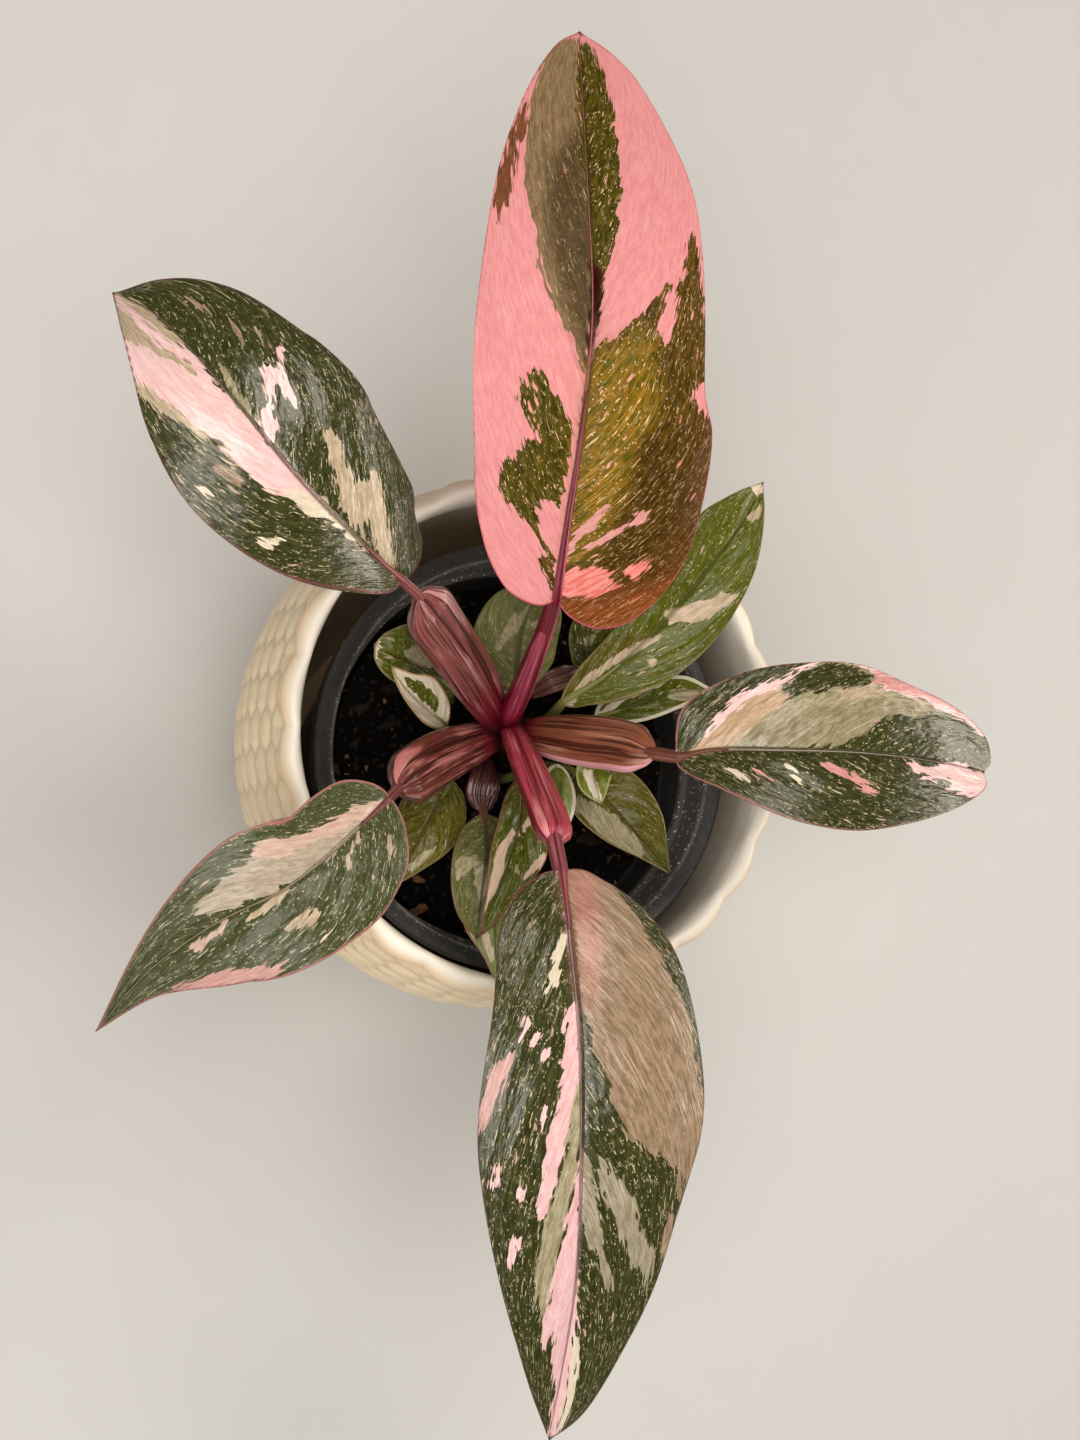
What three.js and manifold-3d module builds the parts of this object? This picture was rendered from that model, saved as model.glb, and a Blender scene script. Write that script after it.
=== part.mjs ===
// A pink princess philodendron in a black nursery pot, standing inside a glazed outer pot.
// Millimetres, +Z up. The origin is the middle of the outer pot's flat base.
import * as THREE from 'three';
import Module from 'manifold-3d';

const wasm = await Module();
wasm.setup();

// Driving dimensions
const gap = 0.3; // clearance between pieces that touch
const potHeight = 124; // outer pot, base to lip
const potBaseRadius = 50;
const potBellyRadius = 75.9;
const potLipRadius = 72.6; // outside of the rolled lip
const potMouthRadius = 67.2; // inside of the rolled lip
const potFloor = 6.5; // thickness of the outer pot's floor
const lobeCount = 23; // scallops round the lip
const lobeHeight = 1.3;
const lobeMean = 0.7; // the share of a lobe's height that lies inside the turned profile
const lobeStart = 92; // the lobes rise out of the wall over this stretch of its height
const lobeFull = 116;
const lobeTurn = 7.5; // degrees, the first notch
const stepsPerLobe = 3;
const nurseryCentre = [-1.8, -5.3]; // the nursery pot stands off the outer pot's axis
const nurseryHeight = 109;
const nurseryRimRadius = 60;
const nurseryBaseRadius = 41.5;
const nurserySteps = 60;
const drainHoleCount = 8;
const drainHoleRadius = 4.5;
const drainRingRadius = 29;
const soilTop = 93; // height of the soil's middle
const soilRipple = 1.6;
const soilWaves = [20, 23]; // the ripple's span along X and across it
const soilSides = 36;
const bladeThickness = 1.2;
const curlSpan = 30;
const veinSweep = 2.1; // how far the side veins lean towards the tip
const nurseryFloor = potFloor + gap; // the height that the nursery pot stands at

// Each blade: the midrib in space from stalk to tip, and the two edges in the blade's own flat
// measure as [along the midrib, away from it]. Left and right are as seen from stalk to tip.
// fold is the rise of each half at the midrib and curl its fall over the curl span, in degrees.
const leaves = {
  newest: {
    colour: 0xd98f8f,
    midrib: [
      [-16, 28, 178], [-16, 46, 186], [-15, 69, 194],
      [-13, 97, 196], [-12, 132, 190], [-8, 178, 174],
    ],
    left: [
      [-1.5, 4], [0, 10], [4, 15.5], [14, 21.5], [30, 26],
      [64, 30], [97, 26], [127, 17.5], [148, 8],
    ],
    right: [
      [-4, 4], [-6.5, 12], [-3, 22], [10, 33], [28, 37],
      [46, 36], [60, 31], [90, 31], [119, 27], [144, 14],
    ],
    roll: 0, fold: 14, curl: 30, steps: 18, across: 3,
  },
  left: {
    colour: 0x5f6350,
    midrib: [
      [-55, 31, 176], [-65, 36, 184], [-85, 50, 194],
      [-101, 68, 194], [-116, 87, 186], [-126, 95, 176],
    ],
    left: [[4, 5], [12, 10], [24, 17], [36, 22], [50, 25], [65, 22.5], [81, 15.5], [95, 8.5]],
    right: [[-1.5, 2], [-2, 7], [2, 13], [12, 19], [32, 26.5], [50, 28.5], [66, 26], [84, 20], [97, 8]],
    roll: -6, fold: 12, curl: 30, steps: 16, across: 3,
  },
  right: {
    colour: 0x6a6a55,
    midrib: [
      [24, -9, 160], [32, -7, 166], [50, -7, 172],
      [72, -7, 172], [97, -8, 166], [118, -10, 158],
    ],
    left: [
      [1, 3.5], [3, 8], [8, 15], [20, 21.5], [36, 24],
      [55, 25], [72, 20], [90, 15.5], [100, 10.5], [102.5, 3.5],
    ],
    right: [[0.5, 3], [6, 8], [18, 14], [32, 20], [46, 22], [62, 19.5], [78, 15], [92, 9], [99, 4.5]],
    roll: 12, fold: 14, curl: 30, steps: 16, across: 3,
  },
  lowerLeft: {
    colour: 0x6d705b,
    midrib: [
      [-53, -21, 158], [-65, -31, 164], [-80, -43, 168],
      [-97, -52, 164], [-111, -63, 156], [-122, -78, 144],
    ],
    left: [[0, 2.5], [3, 8.5], [10, 15.5], [22, 19.5], [34, 19.5], [48, 18.5], [62, 14], [80, 5.5]],
    right: [
      [0, 2.5], [3, 7], [10, 12], [19, 13.5], [28, 13.5],
      [35, 16.5], [46, 17], [60, 12], [78, 5],
    ],
    roll: 0, fold: 14, curl: 30, steps: 16, across: 3,
  },
  front: {
    colour: 0x6f6656,
    midrib: [
      [-13, -39, 174], [-14, -55, 182], [-13, -80, 186],
      [-12, -108, 184], [-10, -141, 174], [-10, -180, 156],
    ],
    left: [[-0.5, 4.5], [2, 10], [10, 21], [28, 30], [50, 34], [72, 33], [94, 25], [118, 17], [140, 8]],
    right: [[0.5, 3], [4, 8.5], [14, 17], [34, 21.5], [60, 26], [80, 24.5], [104, 19], [128, 10]],
    roll: 0, fold: 12, curl: 32, steps: 18, across: 3,
  },
  green: {
    colour: 0x5f6d2c,
    midrib: [[6, 9, 122], [17, 17, 132], [30, 31, 140], [42, 47, 146], [51, 59, 146], [59, 71, 142]],
    left: [[3, 2.5], [9, 5.5], [16, 7.5], [30, 9], [50, 10.5], [65, 11.5], [78, 6.5]],
    right: [[2.5, 3], [10, 5.5], [19.5, 9.5], [30, 13], [45, 14], [62, 11], [76, 5.5]],
    roll: 0, fold: 12, curl: 30, steps: 12, across: 2,
  },
  whiteEdged: {
    colour: 0x7c8f4a,
    midrib: [[19, 6, 114], [28, 9, 119], [39, 13, 122], [52, 15, 121]],
    left: [[2.5, 3.5], [9, 5], [17, 5.5], [28, 4]],
    right: [[2.5, 2], [9, 4.5], [18, 5.5], [28, 4]],
    roll: 0, fold: 14, curl: 30, steps: 9, across: 2,
  },
  round: {
    colour: 0x6a7750,
    midrib: [[-5, 11, 114], [-7, 20, 122], [-7, 30, 128], [-2, 41, 128]],
    left: [[3, 5], [11, 10.5], [20, 14], [28, 10], [33, 4]],
    right: [[1.5, 4.5], [10, 10], [23, 10.5], [32, 8]],
    roll: 0, fold: 10, curl: 30, steps: 9, across: 2,
  },
  whiteTipped: {
    colour: 0x656c38,
    midrib: [[-22, 13, 110], [-33, 18, 116], [-41, 20, 120], [-47, 23, 120]],
    left: [[3.5, 4], [12.5, 7.5], [21, 7], [27, 4]],
    right: [[5, 4], [14, 8], [23, 9.5], [28, 5]],
    roll: 0, fold: 10, curl: 30, steps: 9, across: 2,
  },
  curled: {
    colour: 0xb9ad8a,
    midrib: [[-26, 2, 118], [-34, 6, 124], [-41, 11, 128], [-45, 16, 130]],
    left: [[4, 3], [10, 4.5], [16, 4], [22, 1.5]],
    right: [[3, 3.5], [9, 6.5], [17, 7.5], [23, 3.5]],
    roll: 0, fold: 30, curl: 0, steps: 9, across: 2,
  },
  olive: {
    colour: 0x5d5c35,
    midrib: [[-20, -12, 104], [-28, -22, 112], [-35, -33, 115], [-39, -42, 112]],
    left: [[3, 6], [12, 9.5], [22, 9], [31, 5]],
    right: [[4, 6], [14, 9.5], [24, 9], [32, 5]],
    roll: 0, fold: 10, curl: 30, steps: 9, across: 2,
  },
  greyGreen: {
    colour: 0x5c6b48,
    midrib: [[-13, -22, 112], [-15, -33, 120], [-18, -44, 125], [-19, -56, 124]],
    left: [[1, 4], [8, 8], [17, 9.5], [26, 8.5], [34, 4.5]],
    right: [[2, 3], [10, 8.5], [21, 10.5], [32, 6.5]],
    roll: 0, fold: 14, curl: 30, steps: 9, across: 2,
  },
  creamStriped: {
    colour: 0x8a9250,
    midrib: [[-6, -12, 122], [-9, -24, 130], [-14, -38, 133], [-20, -55, 130]],
    left: [[6, 3], [15, 6.5], [23, 9.5], [33, 6.5], [41, 3.5]],
    right: [[7, 4], [16, 6.5], [27, 6], [38, 3]],
    roll: 0, fold: 16, curl: 20, steps: 9, across: 2,
  },
  creamSliver: {
    colour: 0xb4b890,
    midrib: [[-6, -31, 105], [-9, -43, 110], [-12, -55, 118], [-14, -69, 128]],
    left: [[6, 4], [15, 7.5], [27, 8.5], [36.5, 4]],
    right: [[8, 6], [20, 10], [28, 9.5], [35, 5]],
    roll: 0, fold: 14, curl: 20, steps: 9, across: 2,
  },
  broad: {
    colour: 0x66703a,
    midrib: [[15, -9, 110], [21, -17, 116], [31, -28, 118], [42, -38, 114]],
    left: [[3, 5.5], [9, 10.5], [17, 11.5], [27, 9], [36, 4]],
    right: [[3, 6], [10, 10], [20, 8.5], [31, 4]],
    roll: 0, fold: 12, curl: 30, steps: 9, across: 2,
  },
  glossy: {
    colour: 0x76903a,
    midrib: [[17, -7, 118], [15, -12, 124], [17, -19, 124]],
    left: [[1, 3.5], [7, 5], [12.5, 2.5]],
    right: [[2, 4], [8, 6.5], [12.5, 3.5]],
    roll: 0, fold: 24, curl: 20, steps: 8, across: 2,
  },
  creamEdged: {
    colour: 0x8d9460,
    midrib: [[5, -8, 120], [5, -15, 124], [4, -22, 126], [5, -29, 124]],
    left: [[2, 2.5], [9, 4], [15, 4], [20.5, 2]],
    right: [[3, 3.5], [11, 5], [18, 3.5]],
    roll: 0, fold: 16, curl: 20, steps: 8, across: 2,
  },
  darkGreen: {
    colour: 0x45552a,
    midrib: [[17, 20, 112], [15, 28, 120], [16, 37, 122]],
    left: [[3, 4], [8, 6], [13, 6.5], [18, 4]],
    right: [[3, 4.5], [12, 7.5], [18, 5.5]],
    roll: 0, fold: 14, curl: 20, steps: 8, across: 2,
  },
};

// The girth of a round stalk that narrows evenly.
const tapered = (radius, tipRadius) => [[0, radius, radius], [1, tipRadius, tipRadius]];

// Each stalk: its path in space, ending under its blade, and [share of path, half width, half depth].
// The wide stretch is the sheath that clasps the stem, and the narrow one the bare leaf stalk.
const stalks = {
  newest: {
    colour: 0x8c2a3c,
    path: [[-10, 3, 121], [-12, 10, 140], [-14, 18, 158], [-15, 24, 169]],
    girth: [[0, 3.4, 3.4], [0.5, 3.2, 3], [0.75, 2.7, 2.6], [1, 2.4, 2.2]],
  },
  left: {
    colour: 0x7d4a4c,
    path: [[-12, 3, 122], [-27, 14, 142], [-42, 23, 162], [-49, 28, 170]],
    girth: [
      [0, 4.5, 3.5], [0.25, 7.4, 5], [0.6, 7.8, 5.2],
      [0.72, 6.2, 4], [0.78, 2.8, 2.5], [1, 2.5, 2.2],
    ],
  },
  front: {
    colour: 0x8f3341,
    path: [[-8, 2, 120], [-10, -12, 142], [-11, -26, 160], [-12, -32, 166]],
    girth: [
      [0, 4, 3.5], [0.25, 6, 4.6], [0.6, 6.4, 4.8],
      [0.7, 5, 3.6], [0.76, 2.3, 2.2], [1, 2.1, 1.9],
    ],
  },
  right: {
    colour: 0x6f3f38,
    path: [[-3, 0, 116], [5, -4, 132], [12, -6, 144], [18, -8, 154]],
    girth: [
      [0, 4.5, 3.5], [0.25, 7, 5], [0.65, 7.2, 5],
      [0.76, 5.6, 3.8], [0.82, 2.5, 2.2], [1, 2.2, 1.9],
    ],
  },
  lowerLeft: {
    colour: 0x84504c,
    path: [[-11, -1, 114], [-29, -9, 130], [-42, -15, 144], [-49, -18, 152]],
    girth: [
      [0, 4.5, 3.5], [0.25, 7, 5], [0.6, 7.4, 5],
      [0.72, 5.6, 3.8], [0.78, 2.5, 2.2], [1, 2.3, 2],
    ],
  },
  greyGreen: {
    colour: 0x5a3a34,
    path: [[-9, -6, 102], [-12, -12, 109], [-13, -17, 109]],
    girth: [[0, 2, 2], [0.3, 4.6, 3], [0.7, 4.6, 2.8], [0.88, 2.4, 1.6], [1, 1.4, 1.3]],
  },
  darkGreen: {
    colour: 0x5e4038,
    path: [[3, 13, 104], [7, 16, 110], [12, 18, 110]],
    girth: [[0, 1.6, 1.6], [0.3, 3.2, 2], [0.7, 3.4, 2], [0.88, 2.2, 1.5], [1, 1.2, 1.1]],
  },
  green: {
    colour: 0x6d5a3a,
    path: [[8, 5, 86], [8, 6, 104], [7, 8, 116]],
    girth: tapered(1.8, 1.4),
  },
  whiteEdged: {
    colour: 0x7f8a4c,
    path: [[14, 2, 86], [16, 3, 100], [18, 5, 109]],
    girth: tapered(1.5, 1.1),
  },
  round: {
    colour: 0x76804c,
    path: [[-6, 15, 86], [-6, 13, 100], [-5, 11, 109]],
    girth: tapered(1.5, 1.2),
  },
  whiteTipped: {
    colour: 0x6f7040,
    path: [[-15, 11, 86], [-19, 12, 98], [-21, 12, 105]],
    girth: tapered(1.5, 1.1),
  },
  curled: {
    colour: 0x8a8a58,
    path: [[-18, 3, 86], [-23, 2, 103], [-25, 2, 113]],
    girth: tapered(1.5, 1.1),
  },
  olive: {
    colour: 0x66603a,
    path: [[-14, -7, 84], [-18, -10, 94], [-20, -11, 99]],
    girth: tapered(1.5, 1.2),
  },
  creamStriped: {
    colour: 0x8a8a50,
    path: [[-2, -10, 86], [-4, -11, 104], [-5, -11, 116]],
    girth: tapered(1.5, 1.2),
  },
  creamSliver: {
    colour: 0x9a9c70,
    path: [[-6, -20, 86], [-6, -26, 96], [-6, -30, 101]],
    girth: tapered(1.5, 1.1),
  },
  broad: {
    colour: 0x6f7040,
    path: [[10, -5, 86], [13, -7, 98], [14, -8, 105]],
    girth: tapered(1.5, 1.2),
  },
  glossy: {
    colour: 0x7c9040,
    path: [[15, -2, 86], [16, -4, 104], [17, -6, 113]],
    girth: tapered(1.4, 1),
  },
  creamEdged: {
    colour: 0x8d9460,
    path: [[3, -9, 86], [4, -9, 104], [5, -9, 115]],
    girth: tapered(1.4, 1),
  },
};
const stem = {
  path: [[-1, 5, 72], [-3, 4, 92], [-6, 3, 108], [-9, 2, 119]],
  girth: [[0, 9, 9], [0.5, 8, 8], [1, 5.5, 5.5]],
};
const stalkSides = 10;
const sheathSteps = 14; // rings along a stalk with a sheath
const thinSteps = 6;
const stemSteps = 8;
const up = new THREE.Vector3(0, 0, 1);
const radians = THREE.MathUtils.degToRad;

function finish(hex, roughness) {
  return new THREE.MeshStandardMaterial({ color: hex, roughness, metalness: 0 });
}

function geometryOf(positions, faces) {
  const geometry = new THREE.BufferGeometry();
  geometry.setAttribute('position', new THREE.Float32BufferAttribute(positions, 3));
  geometry.setIndex(faces);
  return geometry;
}

function solidOf(geometry) {
  const vertProperties = new Float32Array(geometry.getAttribute('position').array);
  const triVerts = new Uint32Array(geometry.getIndex().array);
  return new wasm.Manifold(new wasm.Mesh({ numProp: 3, vertProperties, triVerts }));
}

function geometryOfSolid(solid) {
  const cut = solid.getMesh();
  return geometryOf(Array.from(cut.vertProperties), Array.from(cut.triVerts));
}

// A solid of turned rings: each profile point is [radius, height], from the axis round to the axis.
function turned(profile, steps, radiusAt = (radius) => radius) {
  const positions = [];
  const faces = [];
  const inner = profile.slice(1, -1);
  inner.forEach(([radius, height], ring) => {
    for (let step = 0; step < steps; step += 1) {
      const angle = (2 * Math.PI * step) / steps;
      const r = radiusAt(radius, angle, height, ring);
      positions.push(r * Math.cos(angle), r * Math.sin(angle), height);
    }
  });
  const first = inner.length * steps;
  positions.push(0, 0, profile[0][1], 0, 0, profile.at(-1)[1]);
  for (let step = 0; step < steps; step += 1) {
    const next = (step + 1) % steps;
    faces.push(first, next, step);
    for (let ring = 0; ring < inner.length - 1; ring += 1) {
      const low = ring * steps;
      const high = low + steps;
      faces.push(low + step, low + next, high + next, low + step, high + next, high + step);
    }
    const last = (inner.length - 1) * steps;
    faces.push(last + step, last + next, first + 1);
  }
  return geometryOf(positions, faces);
}

function curveThrough(points) {
  return new THREE.CatmullRomCurve3(points.map((p) => new THREE.Vector3(...p)), false, 'catmullrom', 0.5);
}

// Half width and half depth at a share of a stalk's path.
function girthAt(girth, share) {
  const right = Math.max(1, girth.findIndex(([place]) => place >= share));
  const [from, to] = [girth[right - 1], girth[right]];
  const part = (share - from[0]) / (to[0] - from[0]);
  return [1, 2].map((axis) => from[axis] + (to[axis] - from[axis]) * part);
}

// A tube of oval rings along a curve, grown on all sides by `grow`.
function stalkGeometry({ path, girth }, sides, steps, grow = 0) {
  const curve = curveThrough(path);
  const positions = [];
  const faces = [];
  for (let ring = 0; ring <= steps; ring += 1) {
    const share = ring / steps;
    const along = curve.getTangent(share);
    const centre = curve.getPoint(share);
    if (share === 0) centre.addScaledVector(along, -grow);
    if (share === 1) centre.addScaledVector(along, grow);
    const across = new THREE.Vector3().crossVectors(along, up).normalize();
    const over = new THREE.Vector3().crossVectors(across, along);
    const [halfWidth, halfDepth] = girthAt(girth, share);
    for (let side = 0; side < sides; side += 1) {
      const angle = (2 * Math.PI * side) / sides;
      const point = centre.clone().addScaledVector(across, (halfWidth + grow) * Math.cos(angle));
      positions.push(...point.addScaledVector(over, (halfDepth + grow) * Math.sin(angle)));
    }
    if (share === 0 || share === 1) positions.push(...centre);
  }
  const base = sides; // the first ring's centre follows the first ring
  const start = (ring) => ring * sides + (ring > 0 ? 1 : 0);
  const end = start(steps) + sides;
  for (let side = 0; side < sides; side += 1) {
    const next = (side + 1) % sides;
    faces.push(base, side, next);
    for (let ring = 0; ring < steps; ring += 1) {
      const [near, far] = [start(ring), start(ring + 1)];
      faces.push(near + side, far + next, near + next, near + side, far + side, far + next);
    }
    faces.push(end, start(steps) + next, start(steps) + side);
  }
  return geometryOf(positions, faces);
}

// Gives the place and the upward normal of a point that is `along` the midrib and `away` from it.
function bladeSurface({ midrib, roll, fold, curl }) {
  const curve = curveThrough(midrib);
  const length = curve.getLength();
  const rise = radians(fold);
  const bend = radians(curl) / curlSpan;
  const turn = radians(roll);
  const point = (along, away) => {
    const held = THREE.MathUtils.clamp(along, 0, length);
    const tangent = curve.getTangentAt(held / length);
    const flat = new THREE.Vector3().crossVectors(tangent, up).normalize();
    const over = new THREE.Vector3().crossVectors(flat, tangent);
    const side = flat.clone().multiplyScalar(Math.cos(turn)).addScaledVector(over, Math.sin(turn));
    over.multiplyScalar(Math.cos(turn)).addScaledVector(flat, -Math.sin(turn));
    const distance = Math.abs(away);
    const slope = rise - bend * distance;
    const out = bend ? (Math.sin(rise) - Math.sin(slope)) / bend : distance * Math.cos(rise);
    const lift = bend ? (Math.cos(slope) - Math.cos(rise)) / bend : distance * Math.sin(rise);
    const place = curve.getPointAt(held / length).addScaledVector(tangent, along - held);
    place.addScaledVector(side, Math.sign(away) * out).addScaledVector(over, lift);
    const normal = over.clone().multiplyScalar(Math.cos(slope));
    normal.addScaledVector(side, -Math.sign(away) * Math.sin(slope)).normalize();
    return { place, normal };
  };
  return { length, point };
}

// A closed sheet: rows run along the side veins, from the midrib to the edge on both halves.
function bladeGeometry(leaf) {
  const { length, point } = bladeSurface(leaf);
  const { steps, across } = leaf;
  const edges = [leaf.left, leaf.right].map((edge) => {
    const points = [[0, 0], ...edge, [length, 0]].map(([along, away]) => new THREE.Vector2(along, away));
    return new THREE.SplineCurve(points);
  });
  const columns = 2 * across + 1;
  const positions = [];
  const faces = [];
  const put = (along, away, face) => {
    const { place, normal } = point(along, away);
    positions.push(...place.addScaledVector(normal, (face * bladeThickness) / 2));
  };
  for (const face of [1, -1]) {
    put(0, 0, face);
    for (let row = 1; row < steps; row += 1) {
      const root = length * (row / steps) ** veinSweep;
      for (let column = -across; column <= across; column += 1) {
        const edge = edges[column < 0 ? 0 : 1].getPointAt(row / steps);
        const share = Math.abs(column) / across;
        put(root + (edge.x - root) * share, Math.sign(column) * edge.y * share, face);
      }
    }
    put(length, 0, face);
  }
  const sheet = positions.length / 6; // points on each face
  const at = (row, column, face) => {
    if (row === 0) return face * sheet;
    return row === steps ? face * sheet + sheet - 1 : face * sheet + 1 + (row - 1) * columns + column;
  };
  const add = (a, b, c) => {
    if (a !== b && b !== c && a !== c) faces.push(a, b, c);
  };
  for (let row = 0; row < steps; row += 1) {
    for (let column = 0; column < columns - 1; column += 1) {
      const [a, b] = [at(row, column, 0), at(row, column + 1, 0)];
      const [c, d] = [at(row + 1, column + 1, 0), at(row + 1, column, 0)];
      add(a, b, c);
      add(a, c, d);
      add(a + sheet, c + sheet, b + sheet);
      add(a + sheet, d + sheet, c + sheet);
    }
    for (const [column, inward] of [[0, false], [columns - 1, true]]) {
      const side = [at(row, column, 0), at(row + 1, column, 0)];
      const [a, b] = inward ? side.reverse() : side;
      add(a, b, b + sheet);
      add(a, b + sheet, a + sheet);
    }
  }
  return geometryOf(positions, faces);
}

// The stalk's last point: just under the blade's root, clear of it by the gap.
function stalkEnd(leaf, halfDepth) {
  const { place, normal } = bladeSurface(leaf).point(1, 0);
  return place.addScaledVector(normal, -(halfDepth + bladeThickness / 2 + 2 * gap)).toArray();
}

function outerPot() {
  const profile = [
    [0, 0], [potBaseRadius, 0], [52.5, 1.5], [57, 12], [63.6, 31], [69.4, 50], [74, 70], [potBellyRadius, 88],
    [potBellyRadius - 0.7, 102], [potLipRadius + 0.4, 114], [potLipRadius, 120], [71.2, potHeight - 0.6],
    [69.4, potHeight], [potMouthRadius, 120], [potMouthRadius, 112], [68, 96], [66, 68], [60.5, 46], [55, 27],
    [50.5, 9.5], [48.5, potFloor], [0, potFloor],
  ];
  const outerRings = 11; // rings up to the top of the lip
  const scallop = (radius, angle, height, ring) => {
    if (ring >= outerRings) return radius;
    const share = THREE.MathUtils.smoothstep(height, lobeStart, lobeFull);
    const wave = Math.abs(Math.sin((lobeCount * (angle - radians(lobeTurn))) / 2));
    return radius + share * lobeHeight * (wave - lobeMean);
  };
  return turned(profile, lobeCount * stepsPerLobe, scallop);
}

function nurseryPot() {
  const rim = nurseryRimRadius;
  const profile = [
    [0, 0], [nurseryBaseRadius, 0], [nurseryBaseRadius + 1.3, 1.2], [53.4, 92], [58.6, 94], [59.3, 106.5],
    [rim, 107.2], [rim, 108.4], [59.2, nurseryHeight], [54.8, 107], [54.3, 97], [52.8, 96], [51.9, 84],
    [50.6, 83], [nurseryBaseRadius - 0.6, 3.2], [nurseryBaseRadius - 2, 2.2], [0, 2.2],
  ];
  let pot = solidOf(turned(profile, nurserySteps));
  for (let hole = 0; hole < drainHoleCount; hole += 1) {
    const angle = (2 * Math.PI * hole) / drainHoleCount;
    const cutter = new THREE.CylinderGeometry(drainHoleRadius, drainHoleRadius, 8, 12);
    cutter.rotateX(Math.PI / 2);
    cutter.translate(drainRingRadius * Math.cos(angle), drainRingRadius * Math.sin(angle), 1);
    pot = pot.subtract(mergedSolid(cutter));
  }
  return geometryOfSolid(pot);
}

// A library shape has its own vertices on each face, so they are joined by place before a cut.
function mergedSolid(shape) {
  const source = shape.getAttribute('position');
  const places = new Map();
  const positions = [];
  const joined = Array.from({ length: source.count }, (_, vertex) => {
    const point = [source.getX(vertex), source.getY(vertex), source.getZ(vertex)];
    const key = point.map((value) => value.toFixed(3)).join();
    if (!places.has(key)) {
      places.set(key, positions.length / 3);
      positions.push(...point);
    }
    return places.get(key);
  });
  return solidOf(geometryOf(positions, Array.from(shape.getIndex().array, (vertex) => joined[vertex])));
}

// The soil fills the nursery pot from its floor up, with an uneven top, and has a socket for each stalk.
function soil(sockets) {
  const top = soilTop - nurseryFloor;
  const profile = [
    [0, 2.6], [38.8, 2.6], [40, 3.8], [49.8, 82], [49.9, top - 3.4], [43.6, top + 0.2], [33.6, top + 0.4],
    [23.6, top], [13.6, top + 0.4], [0, top],
  ];
  const heap = turned(profile, soilSides);
  const position = heap.getAttribute('position');
  for (let vertex = 0; vertex < position.count; vertex += 1) {
    const [x, y, z] = [position.getX(vertex), position.getY(vertex), position.getZ(vertex)];
    const [wave, crossWave] = soilWaves.map((span) => (2 * Math.PI) / span);
    const ripple = soilRipple * Math.sin(x * wave + 1) * Math.cos((y - x * 0.3) * crossWave);
    if (z > top - 1) position.setZ(vertex, z + ripple);
  }
  heap.translate(nurseryCentre[0], nurseryCentre[1], nurseryFloor);
  return geometryOfSolid(sockets.reduce((left, socket) => left.subtract(socket), solidOf(heap)));
}

const plant = new THREE.Group();

function place(name, geometry, material, position = [0, 0, 0]) {
  const mesh = new THREE.Mesh(geometry, material);
  mesh.name = name;
  mesh.position.set(...position);
  plant.add(mesh);
}

const nodeName = (key) => key.replace(/[A-Z]/g, (letter) => `_${letter.toLowerCase()}`);

place('outer_pot', outerPot(), finish(0xd9ccb4, 0.25));
place('nursery_pot', nurseryPot(), finish(0x1d1e20, 0.45), [...nurseryCentre, nurseryFloor]);

// The stem and the stalks are nested by cutting each one clear of those that it clasps.
const sockets = [];
function placeStalk(name, shape, colour, steps) {
  const whole = solidOf(stalkGeometry(shape, stalkSides, steps));
  const cut = sockets.reduce((left, socket) => left.subtract(socket), whole);
  sockets.push(solidOf(stalkGeometry(shape, stalkSides, steps, gap)));
  place(name, geometryOfSolid(cut), finish(colour, 0.35));
}

placeStalk('main_stem', stem, 0x5a4a30, stemSteps);
for (const [key, stalk] of Object.entries(stalks)) {
  const steps = stalk.girth.length > 2 ? sheathSteps : thinSteps;
  const path = [...stalk.path, stalkEnd(leaves[key], stalk.girth.at(-1)[2])];
  placeStalk(`${nodeName(key)}_leaf_stalk`, { ...stalk, path }, stalk.colour, steps);
}
place('soil', soil(sockets), finish(0x1c1713, 0.95));
for (const [key, leaf] of Object.entries(leaves)) {
  place(`${nodeName(key)}_leaf_blade`, bladeGeometry(leaf), finish(leaf.colour, 0.35));
}

export default plant;
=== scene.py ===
import bpy
from collections import namedtuple
from math import cos, pi, radians, sin, tan
import numpy as np
from mathutils import Matrix, Vector


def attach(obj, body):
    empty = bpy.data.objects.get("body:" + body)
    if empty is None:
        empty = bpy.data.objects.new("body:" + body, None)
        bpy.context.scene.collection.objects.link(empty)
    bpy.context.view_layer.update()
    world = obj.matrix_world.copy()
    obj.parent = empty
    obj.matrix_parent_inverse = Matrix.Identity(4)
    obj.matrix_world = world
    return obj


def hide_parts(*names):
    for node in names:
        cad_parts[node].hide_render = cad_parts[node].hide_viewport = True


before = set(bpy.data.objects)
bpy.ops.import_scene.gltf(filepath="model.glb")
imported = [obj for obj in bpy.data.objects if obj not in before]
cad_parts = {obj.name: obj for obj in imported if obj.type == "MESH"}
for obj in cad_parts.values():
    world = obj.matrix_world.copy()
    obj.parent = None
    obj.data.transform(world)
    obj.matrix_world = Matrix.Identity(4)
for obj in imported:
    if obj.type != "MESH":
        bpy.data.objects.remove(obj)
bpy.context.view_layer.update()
mm = 0.001  # shapes are worked out in millimetres and stored in metres
finePath, coarsePath = 400, 60  # how many places a smooth curve has


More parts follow.
